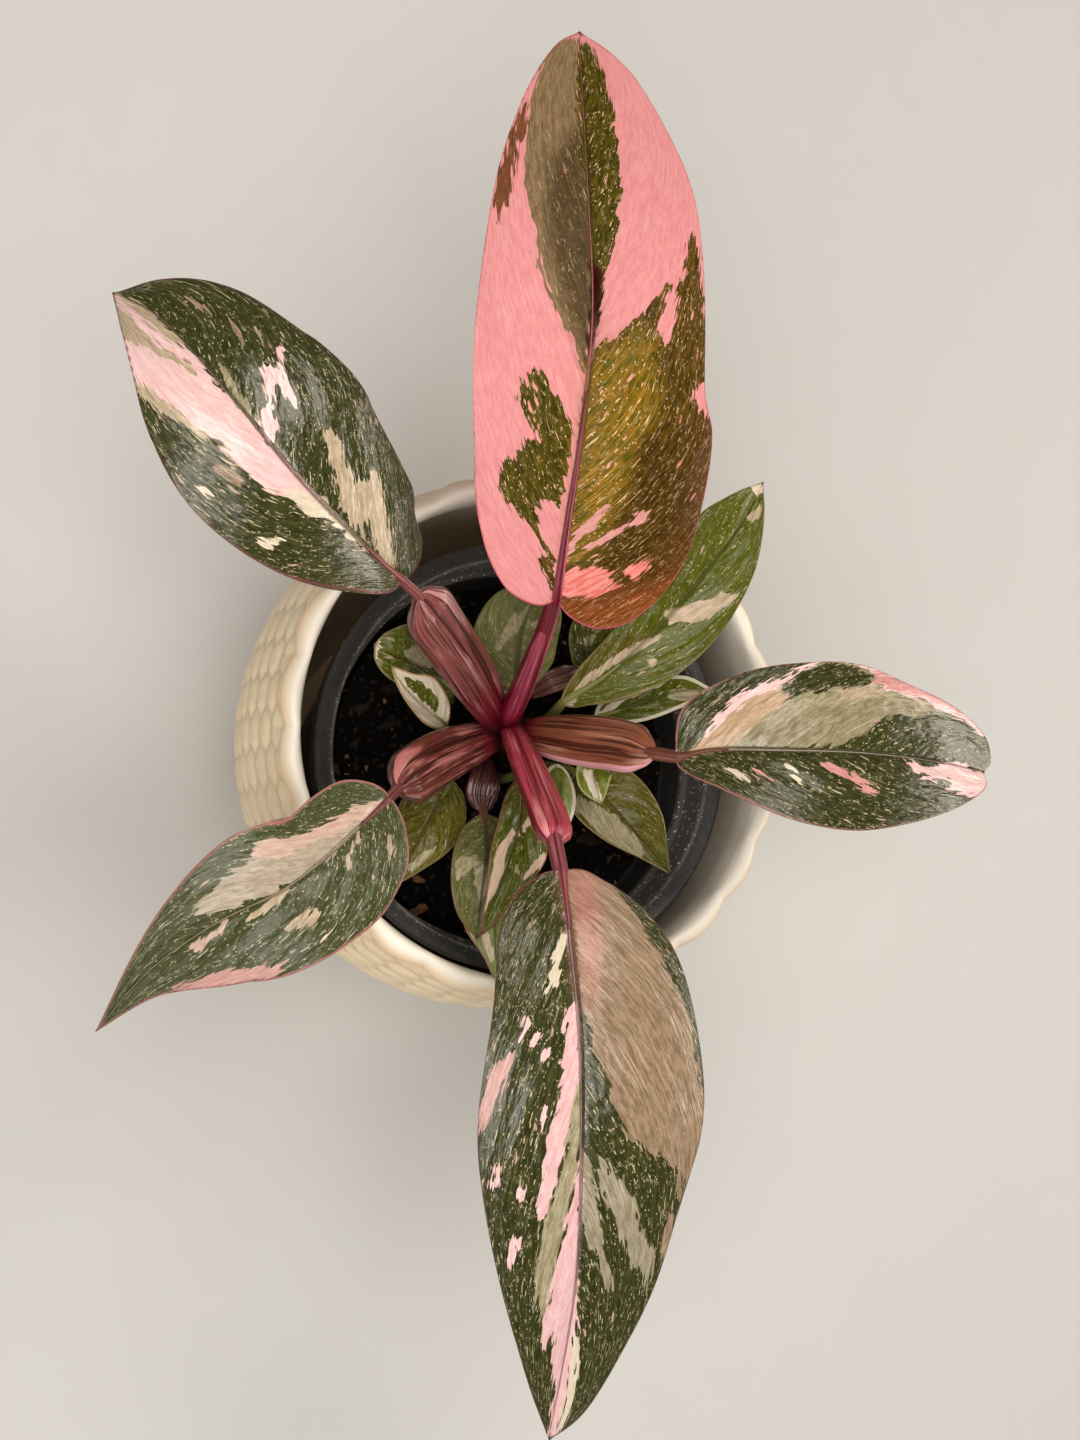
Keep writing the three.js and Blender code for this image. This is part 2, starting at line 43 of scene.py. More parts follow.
# Camera, floor and light.
camera = {
    "aim": (-1.0, 3.7, 124.0),
    "distance": 550.0,
    "leanLeft": 19.7,  # degrees from straight above
    "leanFront": 6.2,
    "lens": 50.0,
    "sensor": 36.0,
    "picture": (1080, 1440),
}
studio = {
    "paper": ("d2d3d3", "cbc8c3"),  # the floor, which is plain but for a faint cloudiness
    "floorReach": 8000.0,
    "sky": ("f2eee8", 0.11),
    # soft lamps, which all point at a place over the middle: degrees, metres and watts
    "lampHeight": 0.15,
    "lamps": {
        "key": {"azimuth": 215, "elevation": 72, "distance": 1.2, "size": (0.7, 0.7), "power": 10,
                "colour": "fff8f0"},
        "window": {"azimuth": 4, "elevation": 14, "distance": 1.1, "size": (0.85, 0.3), "power": 5.5,
                   "colour": "fff4e6"},
        "skylight": {"azimuth": 76, "elevation": 62, "distance": 1.1, "size": (0.5, 0.5), "power": 4.6,
                     "colour": "fff4e6"},
        "fill": {"azimuth": 228, "elevation": 32, "distance": 1.2, "size": (1.0, 1.0), "power": 4.5,
                 "colour": "fffaf4"},
    },
}


def tint(code):
    # a colour as it is seen on a screen, as the linear values that Blender's nodes take
    seen = np.array([int(code[at:at + 2], 16) for at in (0, 2, 4)]) / 255
    return tuple(float(c) for c in np.where(seen <= 0.04045, seen / 12.92, ((seen + 0.055) / 1.055) ** 2.4))


def tints(codes):
    return [tint(code) for code in codes]


back = Vector((-tan(radians(camera["leanLeft"])), -tan(radians(camera["leanFront"])), 1)).normalized()
rightward = (-back).cross(Vector((0, 1, 0))).normalized()
above = rightward.cross(-back)
eye = Vector(camera["aim"]) + back * camera["distance"]


def makeCamera():
    data = bpy.data.cameras.new("camera")
    data.lens = camera["lens"]
    data.sensor_width = camera["sensor"]
    data.clip_start = 0.01
    holder = bpy.data.objects.new("camera", data)
    turn = Matrix((rightward, above, back)).transposed().to_4x4()
    turn.translation = eye * mm
    holder.matrix_world = turn
    bpy.context.collection.objects.link(holder)
    bpy.context.scene.camera = holder


def pictureOf(points):
    # where points in space fall in the camera's picture, in pixels from its top left, and how many there are
    # to the millimetre
    width, height = camera["picture"]
    focal = camera["lens"] / camera["sensor"] * height
    ray = points - np.array(eye)
    depth = ray @ -np.array(back)
    column = width / 2 + focal * (ray @ np.array(rightward)) / depth
    row = height / 2 - focal * (ray @ np.array(above)) / depth
    return np.stack([column, row], -1), focal / depth


def makeStudio():
    for name, lamp in studio["lamps"].items():
        data = bpy.data.lights.new(name, "AREA")
        data.shape = "RECTANGLE"
        data.size, data.size_y = lamp["size"]
        data.energy = lamp["power"]
        data.color = tint(lamp["colour"])
        flat = radians(lamp["azimuth"])
        rise = radians(lamp["elevation"])
        towards = Vector((cos(flat) * cos(rise), sin(flat) * cos(rise), sin(rise)))
        holder = bpy.data.objects.new(name, data)
        holder.matrix_world = towards.to_track_quat("Z", "Y").to_matrix().to_4x4()
        holder.location = Vector((0, 0, studio["lampHeight"])) + towards * lamp["distance"]
        bpy.context.collection.objects.link(holder)
    world = bpy.data.worlds.new("studio")
    bpy.context.scene.world = world
    world.use_nodes = True
    colour, strength = studio["sky"]
    sky = world.node_tree.nodes["Background"].inputs
    sky["Color"].default_value = (*tint(colour), 1)
    sky["Strength"].default_value = strength
    bpy.context.scene.view_settings.view_transform = "Standard"


# How every piece is painted and made.
class Value:
    # one socket of a node tree, which Python sums can use
    def __init__(self, tree, socket):
        self.tree = tree
        self.socket = socket

    def __add__(self, other):
        return self.tree.maths("ADD", self, other)

    def __sub__(self, other):
        return self.tree.maths("SUBTRACT", self, other)

    def __rsub__(self, other):
        return self.tree.maths("SUBTRACT", other, self)

    def __mul__(self, other):
        return self.tree.maths("MULTIPLY", self, other)

    def __truediv__(self, other):
        return self.tree.maths("DIVIDE", self, other)

    def __pow__(self, other):
        return self.tree.maths("POWER", self, other)

    __radd__ = __add__
    __rmul__ = __mul__

    def part(self, name):
        return Value(self.tree, self.socket.node.outputs[name])


class NodeTree:
    # builds a node tree, of a material or of Geometry Nodes
    def __init__(self, tree):
        self.tree = tree

    def node(self, kind, settings=None, sockets=None, output=0):
        made = self.tree.nodes.new(kind)
        for key, value in (settings or {}).items():
            setattr(made, key, value)
        for key, value in (sockets or {}).items():
            self.put(made.inputs[key], value)
        return Value(self, made.outputs[output])

    def put(self, socket, value):
        if isinstance(value, Value):
            self.tree.links.new(value.socket, socket)
        elif isinstance(value, tuple) and len(value) == 3 and socket.type == "RGBA":
            socket.default_value = (*value, 1)
        else:
            socket.default_value = value

    def maths(self, operation, *values):
        return self.node("ShaderNodeMath", {"operation": operation}, dict(enumerate(values)))

    def magnitude(self, value):
        # how large a value is, whatever its sign
        return self.maths("ABSOLUTE", value)

    def radius(self, x, y):
        return self.maths("SQRT", x * x + y * y)

    def vector(self, x, y, z):
        return self.node("ShaderNodeCombineXYZ", None, {"X": x, "Y": y, "Z": z})

    def parts(self, vector):
        whole = self.node("ShaderNodeSeparateXYZ", None, {"Vector": vector})
        return whole, whole.part("Y"), whole.part("Z")

    def step(self, value, low, high):
        # 0 below low, 1 above high and smooth between them
        return self.node("ShaderNodeMapRange", {"interpolation_type": "SMOOTHSTEP"},
                         {"Value": value, "From Min": low, "From Max": high})

    def mix(self, share, first, second):
        return self.node("ShaderNodeMix", {"data_type": "RGBA"}, {0: share, 6: first, 7: second}, 2)

    def noise(self, place, scale, detail=2.0, roughness=0.5):
        return self.node("ShaderNodeTexNoise", None,
                         {"Vector": place, "Scale": scale, "Detail": detail, "Roughness": roughness})

    def cells(self, place, scale):
        # how far a place is from the middle of its cell; the part "Color" is a random one for each cell
        return self.node("ShaderNodeTexVoronoi", None, {"Vector": place, "Scale": scale}, "Distance")


class Finish(NodeTree):
    # a material: its shader's fixed values, and what changes over the surface
    def __init__(self, name, **fixed):
        self.material = bpy.data.materials.new(name)
        self.material.use_nodes = True
        super().__init__(self.material.node_tree)
        self.shader = self.tree.nodes["Principled BSDF"]
        for key, value in fixed.items():
            self.put(self.shader.inputs[key.replace("_", " ")], value)

    def carried(self, name, output="Fac"):
        # a number, or with "Vector" three of them, that the mesh carries at each point
        return self.node("ShaderNodeAttribute", {"attribute_name": name}, None, output)

    def place(self):
        # where a point is on the object, in millimetres
        metres = self.node("ShaderNodeTexCoord", None, None, "Object")
        return self.node("ShaderNodeVectorMath", {"operation": "SCALE"}, {0: metres, "Scale": 1000})

    def paint(self, colour, roughness, height, depth):
        # depth is the relief in millimetres that a height of 1 stands for
        bump = self.node("ShaderNodeBump", None, {"Height": height, "Distance": depth * mm})
        self.put(self.shader.inputs["Base Color"], colour)
        self.put(self.shader.inputs["Roughness"], roughness)
        self.put(self.shader.inputs["Normal"], bump)
        return self.material


def carry(mesh, name, values):
    # a number or a vector for each point of a mesh, which its material reads
    values = np.asarray(values, dtype=np.float32)
    flat = values.ndim == 1
    layer = mesh.attributes.new(name, "FLOAT" if flat else "FLOAT_VECTOR", "POINT")
    layer.data.foreach_set("value" if flat else "vector", values.ravel())


def smoothShaded(mesh):
    mesh.polygons.foreach_set("use_smooth", [True] * len(mesh.polygons))


def makeObject(name, mesh):
    piece = bpy.data.objects.new(name, mesh)
    bpy.context.collection.objects.link(piece)
    return piece


def makePiece(name, points, faces, material, carried=None):
    mesh = bpy.data.meshes.new(name)
    mesh.from_pydata((np.asarray(points) * mm).tolist(), [], [list(face) for face in faces])
    for key, values in (carried or {}).items():
        carry(mesh, key, values)
    smoothShaded(mesh)
    mesh.materials.append(material)
    mesh.update()
    return makeObject(name, mesh)


def settle(piece, slot, *nodes):
    # the piece rides with the pot, and stands for the plain solids
    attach(piece, "root")
    if nodes:
        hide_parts(*nodes)


def smoothPath(points, count, openEnds=True):
    # evenly timed places on a curve through the points
    points = np.asarray(points, float)
    last = len(points) - 1
    before = 2 * points[0] - points[1] if openEnds else points[0]
    after = 2 * points[-1] - points[-2] if openEnds else points[-1]
    held = np.vstack([before, points, after])
    time = np.linspace(0, last, count)
    at = np.minimum(time.astype(int), last - 1)
    part = (time - at)[:, None]
    before, here, there, after = held[at], held[at + 1], held[at + 2], held[at + 3]
    leave, arrive = (there - before) / 2, (after - here) / 2
    cube = 2 * here - 2 * there + leave + arrive
    square = -3 * here + 3 * there - 2 * leave - arrive
    return cube * part ** 3 + square * part ** 2 + leave * part + here


def runLength(path):
    return np.r_[0, np.cumsum(np.linalg.norm(np.diff(path, axis=0), axis=1))]


def along(path, lengths, where):
    return np.stack([np.interp(where, lengths, path[:, axis]) for axis in range(path.shape[1])], -1)


def evenPath(path, step, passes=0):
    # the same path at even steps, and smoothed by the passes
    lengths = runLength(path)
    even = along(path, lengths, np.linspace(0, lengths[-1], max(4, int(lengths[-1] / step))))
    for _ in range(passes):
        even[1:-1] = (even[:-2] + 2 * even[1:-1] + even[2:]) / 4
    return even


def unit(vectors):
    return vectors / np.linalg.norm(vectors, axis=-1, keepdims=True)


def loops(rows, columns):
    # the faces of closed rings of points, and a fan to one more point at each end
    faces = []
    for row in range(rows - 1):
        for column in range(columns):
            nextColumn = (column + 1) % columns
            faces.append((row * columns + column, row * columns + nextColumn,
                          (row + 1) * columns + nextColumn, (row + 1) * columns + column))
    first, last = rows * columns, rows * columns + 1
    for column in range(columns):
        nextColumn = (column + 1) % columns
        faces.append((nextColumn, column, first))
        faces.append(((rows - 1) * columns + column, (rows - 1) * columns + nextColumn, last))
    return faces


blade = {
    "thickness": 0.75,
    "marginThickness": 0.45,  # as a share of that, growing to the whole of it over the margin's width
    "marginWidth": 1.5,
    "rounding": 0.12,  # how far the rounded edge stands out
    "pastTip": 0.3,
    "grooveDepth": 0.45,  # of the midrib, on top
    "ridgeHeight": 1.3,  # of the midrib, underneath
    "grooveStart": 6.0,  # length of a side vein where the groove has its whole depth
    "puff": 0.28,  # how far the blade swells between its side veins
    "puffUnder": 0.8,  # how much of that shows underneath
    "wavesPerVein": 0.33,  # of the margin
    "curlSpan": 30.0,  # how far from the midrib a half has turned by the leaf's curl
    "rootSweep": 2.1,  # how much closer together the side veins start near the stalk
    "veinBend": 1.35,  # how much a side vein bends towards the tip
    "lean": 2.2,  # how widely the pattern's veins leave the midrib, and how much more at the base
    "baseLean": 6.0,
    "baseReach": 0.18,
    "patternBend": 0.6,
}


def bladeSurface(leaf, run, away):
    # the place and the upward normal at `run` along the midrib and `away` from it, right of it positive
    midrib = smoothPath(leaf["midrib"], finePath)
    lengths = runLength(midrib)
    heading = unit(np.gradient(midrib, lengths, axis=0))
    held = np.clip(run, 0, lengths[-1])
    forward = unit(along(heading, lengths, held))
    flat = unit(np.cross(forward, (0, 0, 1)))
    over = np.cross(flat, forward)
    turn = radians(leaf["roll"])
    side = flat * cos(turn) + over * sin(turn)
    over = over * cos(turn) - flat * sin(turn)
    # each half leaves the midrib at the leaf's fold and bends down evenly from there
    rise = radians(leaf["fold"])
    bend = radians(leaf["curl"]) / blade["curlSpan"]
    slope = rise - bend * np.abs(away)
    if bend:
        out, lift = (sin(rise) - np.sin(slope)) / bend, (np.cos(slope) - cos(rise)) / bend
    else:
        out, lift = np.abs(away) * cos(rise), np.abs(away) * sin(rise)
    sign = np.sign(away)
    place = along(midrib, lengths, held) + forward * (run - held)[..., None]
    place = place + side * (sign * out)[..., None] + over * lift[..., None]
    normal = over * np.cos(slope)[..., None] - side * (sign * np.sin(slope))[..., None]
    return place, normal


def insideBy(points, outline):
    # how far inside a closed outline each point is, negative outside it
    nearest = np.full(points.shape[:-1], np.inf)
    crossings = np.zeros(points.shape[:-1], int)
    for start, end in zip(outline, outline[1:] + outline[:1]):
        start, end = np.array(start, float), np.array(end, float)
        span = end - start
        part = np.clip(((points - start) @ span) / (span @ span), 0, 1)
        gap = points - start - part[..., None] * span
        nearest = np.minimum(nearest, np.linalg.norm(gap, axis=-1))
        crosses = (start[1] > points[..., 1]) != (end[1] > points[..., 1])
        rise = span[1] or 1e-9  # a level side is never crossed
        atRow = start[0] + (points[..., 1] - start[1]) / rise * span[0]
        crossings += crosses & (points[..., 0] < atRow)
    return np.where(crossings % 2 == 1, nearest, -nearest)


def veinField(run, away, length, border):
    # a number that is the same all along each side vein, and about how far along it a point is, in
    # millimetres; the veins leave the midrib widely at the base and bend until they run with the margin
    out = np.abs(border[:, 1])
    stations = np.linspace(border[:, 0].min(), length, 90)
    near = np.abs(border[None, :, 0] - stations[:, None]) < length / 60
    width = np.where(near, out[None], 0).max(1)
    width = np.maximum(np.convolve(np.pad(width, 3, "edge"), np.ones(7) / 7, "valid"), 1.5)
    place = np.clip(np.abs(away) / np.interp(run, stations, width), 0, 1.02)
    share = run / length
    spread = blade["lean"] * share
    spread = spread + blade["baseLean"] * blade["baseReach"] * (1 - np.exp(-share / blade["baseReach"]))
    across = spread + np.log(1 - blade["patternBend"] * place) / blade["patternBend"]
    return across * width.max(), run * 0.85 + np.abs(away) * 0.5


Grid = namedtuple("Grid", "length shares spread run away veinLength fromEdge veinNumber onVein")


def bladeGrid(leaf):
    # rows of points, which each follow the two side veins that leave the midrib at one place
    length = runLength(smoothPath(leaf["midrib"], finePath))[-1]
    shares = (np.arange(1, leaf["rows"]) / leaf["rows"])[:, None]
    spread = np.linspace(-1, 1, 2 * leaf["across"] + 1)[None, :]
    spread = np.sign(spread) * np.abs(spread) ** 1.1  # closer together by the midrib
    out = np.abs(spread)
    half = np.where(spread[0] < 0, 0, 1)
    ends, borders = [], []
    for name, sign in (("left", -1), ("right", 1)):
        stations = [(0, 0), *leaf[name], (length, 0)]
        path = smoothPath(stations, 60 * (len(stations) - 1), False)
        lengths = runLength(path)
        ends.append(along(path, lengths, shares[:, 0] * lengths[-1]) * (1, sign))
        borders.append(path * (1, sign))
    reach = np.stack(ends)[half].transpose(1, 0, 2)  # row, column, (run, away)
    roots = length * shares ** blade["rootSweep"]
    run = roots + (reach[..., 0] - roots) * out ** blade["veinBend"]
    away = reach[..., 1] * (1 - (1 - out) ** blade["veinBend"])
    veinLength = np.hypot(reach[..., 0] - roots, reach[..., 1])
    fromEdge, veinNumber, onVein = np.empty((3, *run.shape))
    for index, border in enumerate(borders):
        picked = half == index
        here = np.stack([run, away], -1)[:, picked]
        fromEdge[:, picked] = np.linalg.norm(here[:, :, None] - border[None, None, ::4], axis=-1).min(-1)
        veinNumber[:, picked], onVein[:, picked] = veinField(here[..., 0], here[..., 1], length, border)
    return Grid(length, shares, spread, run, away, veinLength, fromEdge, veinNumber, onVein)


def bladeSides(leaf, grid):
    # the middle, the top and the underside, with swellings between the side veins, waves and the rib's groove
    place, normal = bladeSurface(leaf, grid.run, grid.away)
    out = np.abs(grid.spread)
    beat = 2 * pi * (grid.veinNumber / np.ptp(grid.veinNumber)) * leaf["veins"]
    swell = blade["puff"] * (0.5 - 0.5 * np.cos(beat)) * np.sin(pi * out ** 0.8)
    swing = 2 * pi * grid.shares * leaf["veins"] * blade["wavesPerVein"]
    wave = leaf["wave"] * out ** 2.5 * np.sin(swing + grid.spread * 2 + leaf["seed"])
    wave = wave * np.sin(pi * grid.shares) ** 0.5
    ribWidth = leaf["midribWidth"] * (1.15 - grid.shares ** 0.7)
    groove = np.exp(-(grid.away / (ribWidth * 0.8)) ** 2)
    groove = groove * np.clip(grid.veinLength / blade["grooveStart"], 0, 1)
    thin = blade["marginThickness"] + grid.fromEdge / blade["marginWidth"]
    top = wave + swell - blade["grooveDepth"] * groove
    below = wave + swell * blade["puffUnder"] - blade["thickness"] * np.clip(thin, 0, 1)
    below = below - blade["ridgeHeight"] * groove
    return place, place + normal * top[..., None], place + normal * below[..., None]


def bladeMesh(leaf):
    grid = bladeGrid(leaf)
    place, top, below = bladeSides(leaf, grid)
    outward = unit(place[:, [-1, 0]] - place[:, [-2, 1]])
    lip = (top[:, [-1, 0]] + below[:, [-1, 0]]) / 2 + outward * blade["rounding"]
    rings = np.concatenate([top, lip[:, :1], below[:, ::-1], lip[:, 1:]], 1)
    ends, _ = bladeSurface(leaf, np.array([0.0, grid.length + blade["pastTip"]]), np.zeros(2))
    points = np.concatenate([rings.reshape(-1, 3), ends])

    def spreadOut(values, first, last):
        # the values at the top's points, for every point of the rings and the two ends
        values = np.broadcast_to(values, grid.run.shape)
        ring = np.concatenate([values, values[:, -1:], values[:, ::-1], values[:, :1]], 1)
        return np.r_[ring.ravel(), first, last]

    def onMidrib(values):
        return values[0, leaf["across"]], values[-1, leaf["across"]]

    wide = top.shape[1]
    under = np.r_[np.zeros(wide), 0.5, np.ones(wide), 0.5]
    carried = {
        "veinMap": np.stack([spreadOut(grid.veinNumber, *onMidrib(grid.veinNumber)),
                             spreadOut(grid.onVein, 0, grid.length),
                             spreadOut(np.sign(grid.spread), 0, 0)], -1),
        "edgeMap": np.stack([spreadOut(grid.fromEdge, 0, 0), spreadOut(np.abs(grid.away), 0, 0),
                             spreadOut(grid.shares, 0, 1)], -1),
        "under": np.r_[np.tile(under, len(grid.shares)), 0, 0],
    }
    seen, scale = pictureOf(place)
    for index, (_, *outlines) in enumerate(leaf["patches"]):
        inside = np.max([insideBy(seen, outline) for outline in outlines], 0) / scale
        carried[f"patch{index}"] = spreadOut(inside, *onMidrib(inside))
    return points, loops(len(grid.shares), rings.shape[1]), carried


# The paints of the blades: three tones (the ground, patches in it and fine lines along the veins), how
# strongly the patches and the lines show, how many pale flecks there are, and how soft the edge is.
Paint = namedtuple("Paint", "ground patches lines patchShare lineShare flecks softness")
leafPaints = {
    "pink": Paint("e3999b", "d37e83", "f1b4b4", 0.6, 0.55, 0.0, 0.1),
    "palePink": Paint("f6d6d4", "ecbebe", "e09ca0", 0.8, 0.6, 0.0, 0.1),
    "rose": Paint("dca09a", "cc8682", "f0c4be", 0.8, 0.5, 0.0, 0.1),
    "coral": Paint("e07068", "f0a89e", "c25850", 0.8, 0.5, 0.0, 0.3),
    "rosyTan": Paint("a38a72", "7c674c", "d2b9a2", 0.9, 0.75, 0.15, 0.15),
    "dustPink": Paint("cf9e96", "b58880", "e8c8c0", 0.8, 0.5, 0.1, 0.2),
    "sand": Paint("bfb09c", "9d9080", "807860", 0.8, 0.6, 0.35, 0.15),
    "blush": Paint("efcccc", "e5aeb2", "da8f98", 0.8, 0.6, 0.0, 0.1),
    "ash": Paint("a99e88", "857c62", "dccfbe", 0.9, 0.6, 0.2, 0.15),
    "dawn": Paint("bf8c7c", "9c6c5a", "e4b8a8", 0.8, 0.6, 0.0, 4.0),
    "peach": Paint("c9a98a", "a5896a", "e6cdb0", 0.7, 0.5, 0.0, 0.3),
    "tan": Paint("cebaa0", "a49276", "736848", 0.8, 0.6, 0.3, 0.15),
    "taupe": Paint("937a5c", "746040", "4c4128", 0.9, 0.6, 0.3, 0.15),
    "drab": Paint("a2967a", "7c7454", "cdc4a6", 0.9, 0.6, 0.4, 0.6),
    "bistre": Paint("584630", "463a22", "806a4a", 0.8, 0.5, 0.4, 3.5),
    "sage": Paint("b0a688", "7c7652", "d6ccb2", 0.8, 0.6, 0.4, 0.2),
    "cream": Paint("e9ddc8", "d4c4a8", "b09e7e", 0.7, 0.4, 0.0, 0.1),
    "green": Paint("2b2e13", "43451f", "62623b", 0.9, 0.5, 1.0, 0.1),
    "softGreen": Paint("3c4124", "545838", "76765a", 0.8, 0.5, 1.0, 0.1),
    "leafGreen": Paint("46500a", "606424", "878544", 0.8, 0.5, 0.8, 0.15),
    "greyGreen": Paint("54562c", "72744a", "96946c", 0.8, 0.5, 0.6, 0.2),
    "paleOlive": Paint("63673a", "7c7e50", "a09e74", 0.8, 0.5, 0.6, 0.2),
    "shell": Paint("d6bcaa", "c2a08e", "a88472", 0.8, 0.6, 0.0, 0.2),
    "moss": Paint("35310a", "5a5016", "826c26", 0.9, 0.5, 1.0, 0.1),
    "gold": Paint("565009", "8f6a1c", "d6a850", 0.95, 0.7, 1.2, 4.0),
    "olive": Paint("342c08", "5e4410", "9e7230", 0.95, 0.6, 0.9, 0.1),
    "umber": Paint("32250a", "543c0e", "986a2c", 0.9, 0.6, 0.7, 4.0),
    "brown": Paint("5e3a12", "3e240a", "9c642c", 0.9, 0.6, 0.6, 4.0),
    "orange": Paint("8c4a1e", "643416", "c07e4c", 0.9, 0.5, 0.8, 3.0),
    "maroon": Paint("2c0f0a", "43150f", "5c201a", 0.6, 0.3, 0.0, 0.6),
    "rust": Paint("7c4a30", "5a3a22", "a87050", 0.8, 0.5, 0.3, 0.2),
    "oliveGreen": Paint("4c480f", "6a642a", "908850", 0.8, 0.5, 0.6, 0.2),
    "paleGreen": Paint("9ca36c", "7c8648", "c2c494", 0.8, 0.5, 0.2, 0.3),
    "brightGreen": Paint("5c6a12", "7c8a30", "a6a85c", 0.8, 0.5, 0.5, 0.2),
    "rosyCream": Paint("e8cdb6", "cdb096", "b08c74", 0.7, 0.4, 0.0, 0.15),
}
# Pale marks that lie along the side veins: cells to the millimetre across and along them, the shift that
# picks the cells, a mark's size, the share of cells that have one (the leaf's own where it says None), and
# how much that grows where the marks gather.
marks = {
    "dots": (0.75, 0.65, 11, 0.2, None, 0.35),
    "dashes": (0.75, 0.26, 13, 0.22, 0.2, 0.35),
    "strokes": (0.9, 0.11, 17, 0.2, 0.1, 0.3),
    "longStrokes": (1.2, 0.035, 19, 0.15, 0.0, 0.35),
}
pattern = {
    "raggedness": (2.6, 2.2),  # of a patch's edge: in long teeth and in notches
    "markStrength": 0.8,
    "flakeStrength": 0.9,
    "flakeCells": (0.3, 0.13, 23, 0.2),  # as for the marks
    "flakeShare": (0.14, 0.2),
    "squiggleWidth": (0.022, 0.008),
    "ribShadow": 0.9,
    "marginStrength": 0.85,
}


def midribColour(finish, leaf, half, away, reach, side):
    # how much of the midrib shows, and its colour, with one side in shadow
    ribWidth = leaf["midribWidth"] * (1.02 - reach ** 0.45)
    first, second, third = tints(leaf["midribColours"])
    ribs = finish.noise(finish.vector(away * 3.5, reach * 3, side), 1, 2)
    colour = finish.mix(finish.step(reach, 0.15, 0.6), first, second)
    colour = finish.mix(finish.step(ribs, 0.5, 0.6) * 0.6, colour, third)
    shaded = finish.step(half * away / ribWidth, -0.05, 0.25) * pattern["ribShadow"]
    colour = finish.mix(shaded, colour, tint(leaf.get("ribShade", leaf["midribColours"][1])))
    return finish.step(away / ribWidth, 0.62, 0.4), colour


def bladeFinish(name, leaf):
    finish = Finish(name, Specular_IOR_Level=leaf["gloss"])
    acrossVeins, alongVein, half = finish.parts(finish.carried("veinMap", "Vector"))
    fromEdge, away, reach = finish.parts(finish.carried("edgeMap", "Vector"))
    side = half * 40 + leaf["seed"] * 7  # each half of each leaf has marks of its own

    def flow(across, along, shift=0):
        # a place on the blade, stretched along the side veins; counts to the millimetre
        return finish.vector(acrossVeins * across + wander, alongVein * along, side + shift)

    def painted(kind):
        paint = leafPaints[kind]
        ground = finish.mix(patches * paint.patchShare, tint(paint.ground), tint(paint.patches))
        return finish.mix(lines * paint.lineShare, ground, tint(paint.lines))

    def bits(across, along, shift, size, share, uneven=0.15):
        # specks in some of the cells that lie along the veins
        cell = finish.cells(flow(across, along, shift), 1)
        chance = finish.node("ShaderNodeSeparateColor", None, {"Color": cell.part("Color")})
        shape = cell + (mottle - 0.5) * uneven
        return finish.step(shape, size, size * 0.7) * finish.step(chance, share + 0.02, share - 0.02)

    wander = 0  # nothing wanders yet while its own noise is made
    wander = finish.noise(flow(0.12, 0.16), 1, 2) * 1.6
    strands = finish.noise(flow(2.2, 0.05), 1, 4, 0.6)
    mottle = finish.noise(flow(0.55, 0.22, 3), 1, 6, 0.72)
    broad = finish.noise(flow(0.12, 0.07, 5), 1, 2)
    tooth = finish.noise(flow(1.0, 0.24, 7), 1, 2, 0.5)
    notch = finish.cells(flow(0.5, 0.2, 9), 1)
    patches = finish.step(mottle, 0.4, 0.6)
    lines = finish.step(strands, 0.54, 0.66)
    toothDepth, notchDepth = pattern["raggedness"]
    ragged = ((tooth - 0.5) * toothDepth + (notch - 0.45) * notchDepth) * leaf["ragged"]

    colour = painted(leaf["ground"])
    flecked = leafPaints[leaf["ground"]].flecks
    for index, (kind, *_) in enumerate(leaf["patches"]):
        soft = leafPaints[kind].softness
        inside = finish.step(finish.carried(f"patch{index}") + ragged, -soft, soft)
        colour = finish.mix(inside, colour, painted(kind))
        flecked = inside * (leafPaints[kind].flecks - flecked) + flecked
    # pale marks, which gather in places, and squiggles, which are stretches of a noise's contour lines
    gathered = finish.step(broad, 0.42, 0.58)
    pale = 0
    for across, along, shift, size, share, more in marks.values():
        share = gathered * more + (leaf["dots"] if share is None else share)
        pale = pale + bits(across, along, shift, size, share)
    contour = finish.magnitude(finish.noise(flow(0.75, 0.4, 41), 1, 2) - 0.5)
    broken = finish.step(finish.noise(flow(0.6, 0.33, 43), 1, 1), 0.53, 0.57)
    pale = pale + finish.step(contour, *pattern["squiggleWidth"]) * broken * leaf["squiggles"]
    pale = finish.maths("MINIMUM", pale, 1) * flecked * pattern["markStrength"]
    colour = finish.mix(pale, colour, tint(leaf["fleckColour"]))
    # larger flakes, which are pink or cream
    base, more = pattern["flakeShare"]
    flakes = bits(*pattern["flakeCells"], base + gathered * more, 0.6) * flecked
    colour = finish.mix(flakes * pattern["flakeStrength"], colour, tint(leaf["flakeColour"]))
    onRib, ribColour = midribColour(finish, leaf, half, away, reach, side)
    colour = finish.mix(onRib, colour, ribColour)
    # the margin and the underside
    border = leaf["marginWidth"]
    edge = finish.step(fromEdge, border + 0.12, border - 0.18) * pattern["marginStrength"]
    colour = finish.mix(edge, colour, tint(leaf["margin"]))
    beneath = finish.mix(patches * 0.6, *tints(leaf["underColours"]))
    colour = finish.mix(finish.step(finish.carried("under"), 0.55, 0.75), colour, beneath)
    # leathery relief that runs along the veins
    crinkle = finish.noise(flow(0.6, 0.28, 29), 1, 2, 0.45)
    pucker = finish.noise(flow(0.3, 0.16, 31), 1, 1)
    height = crinkle + pucker * 1.4 + strands * 0.06
    return finish.paint(colour, strands * 0.14 + leaf["roughness"], height, leaf["grain"])


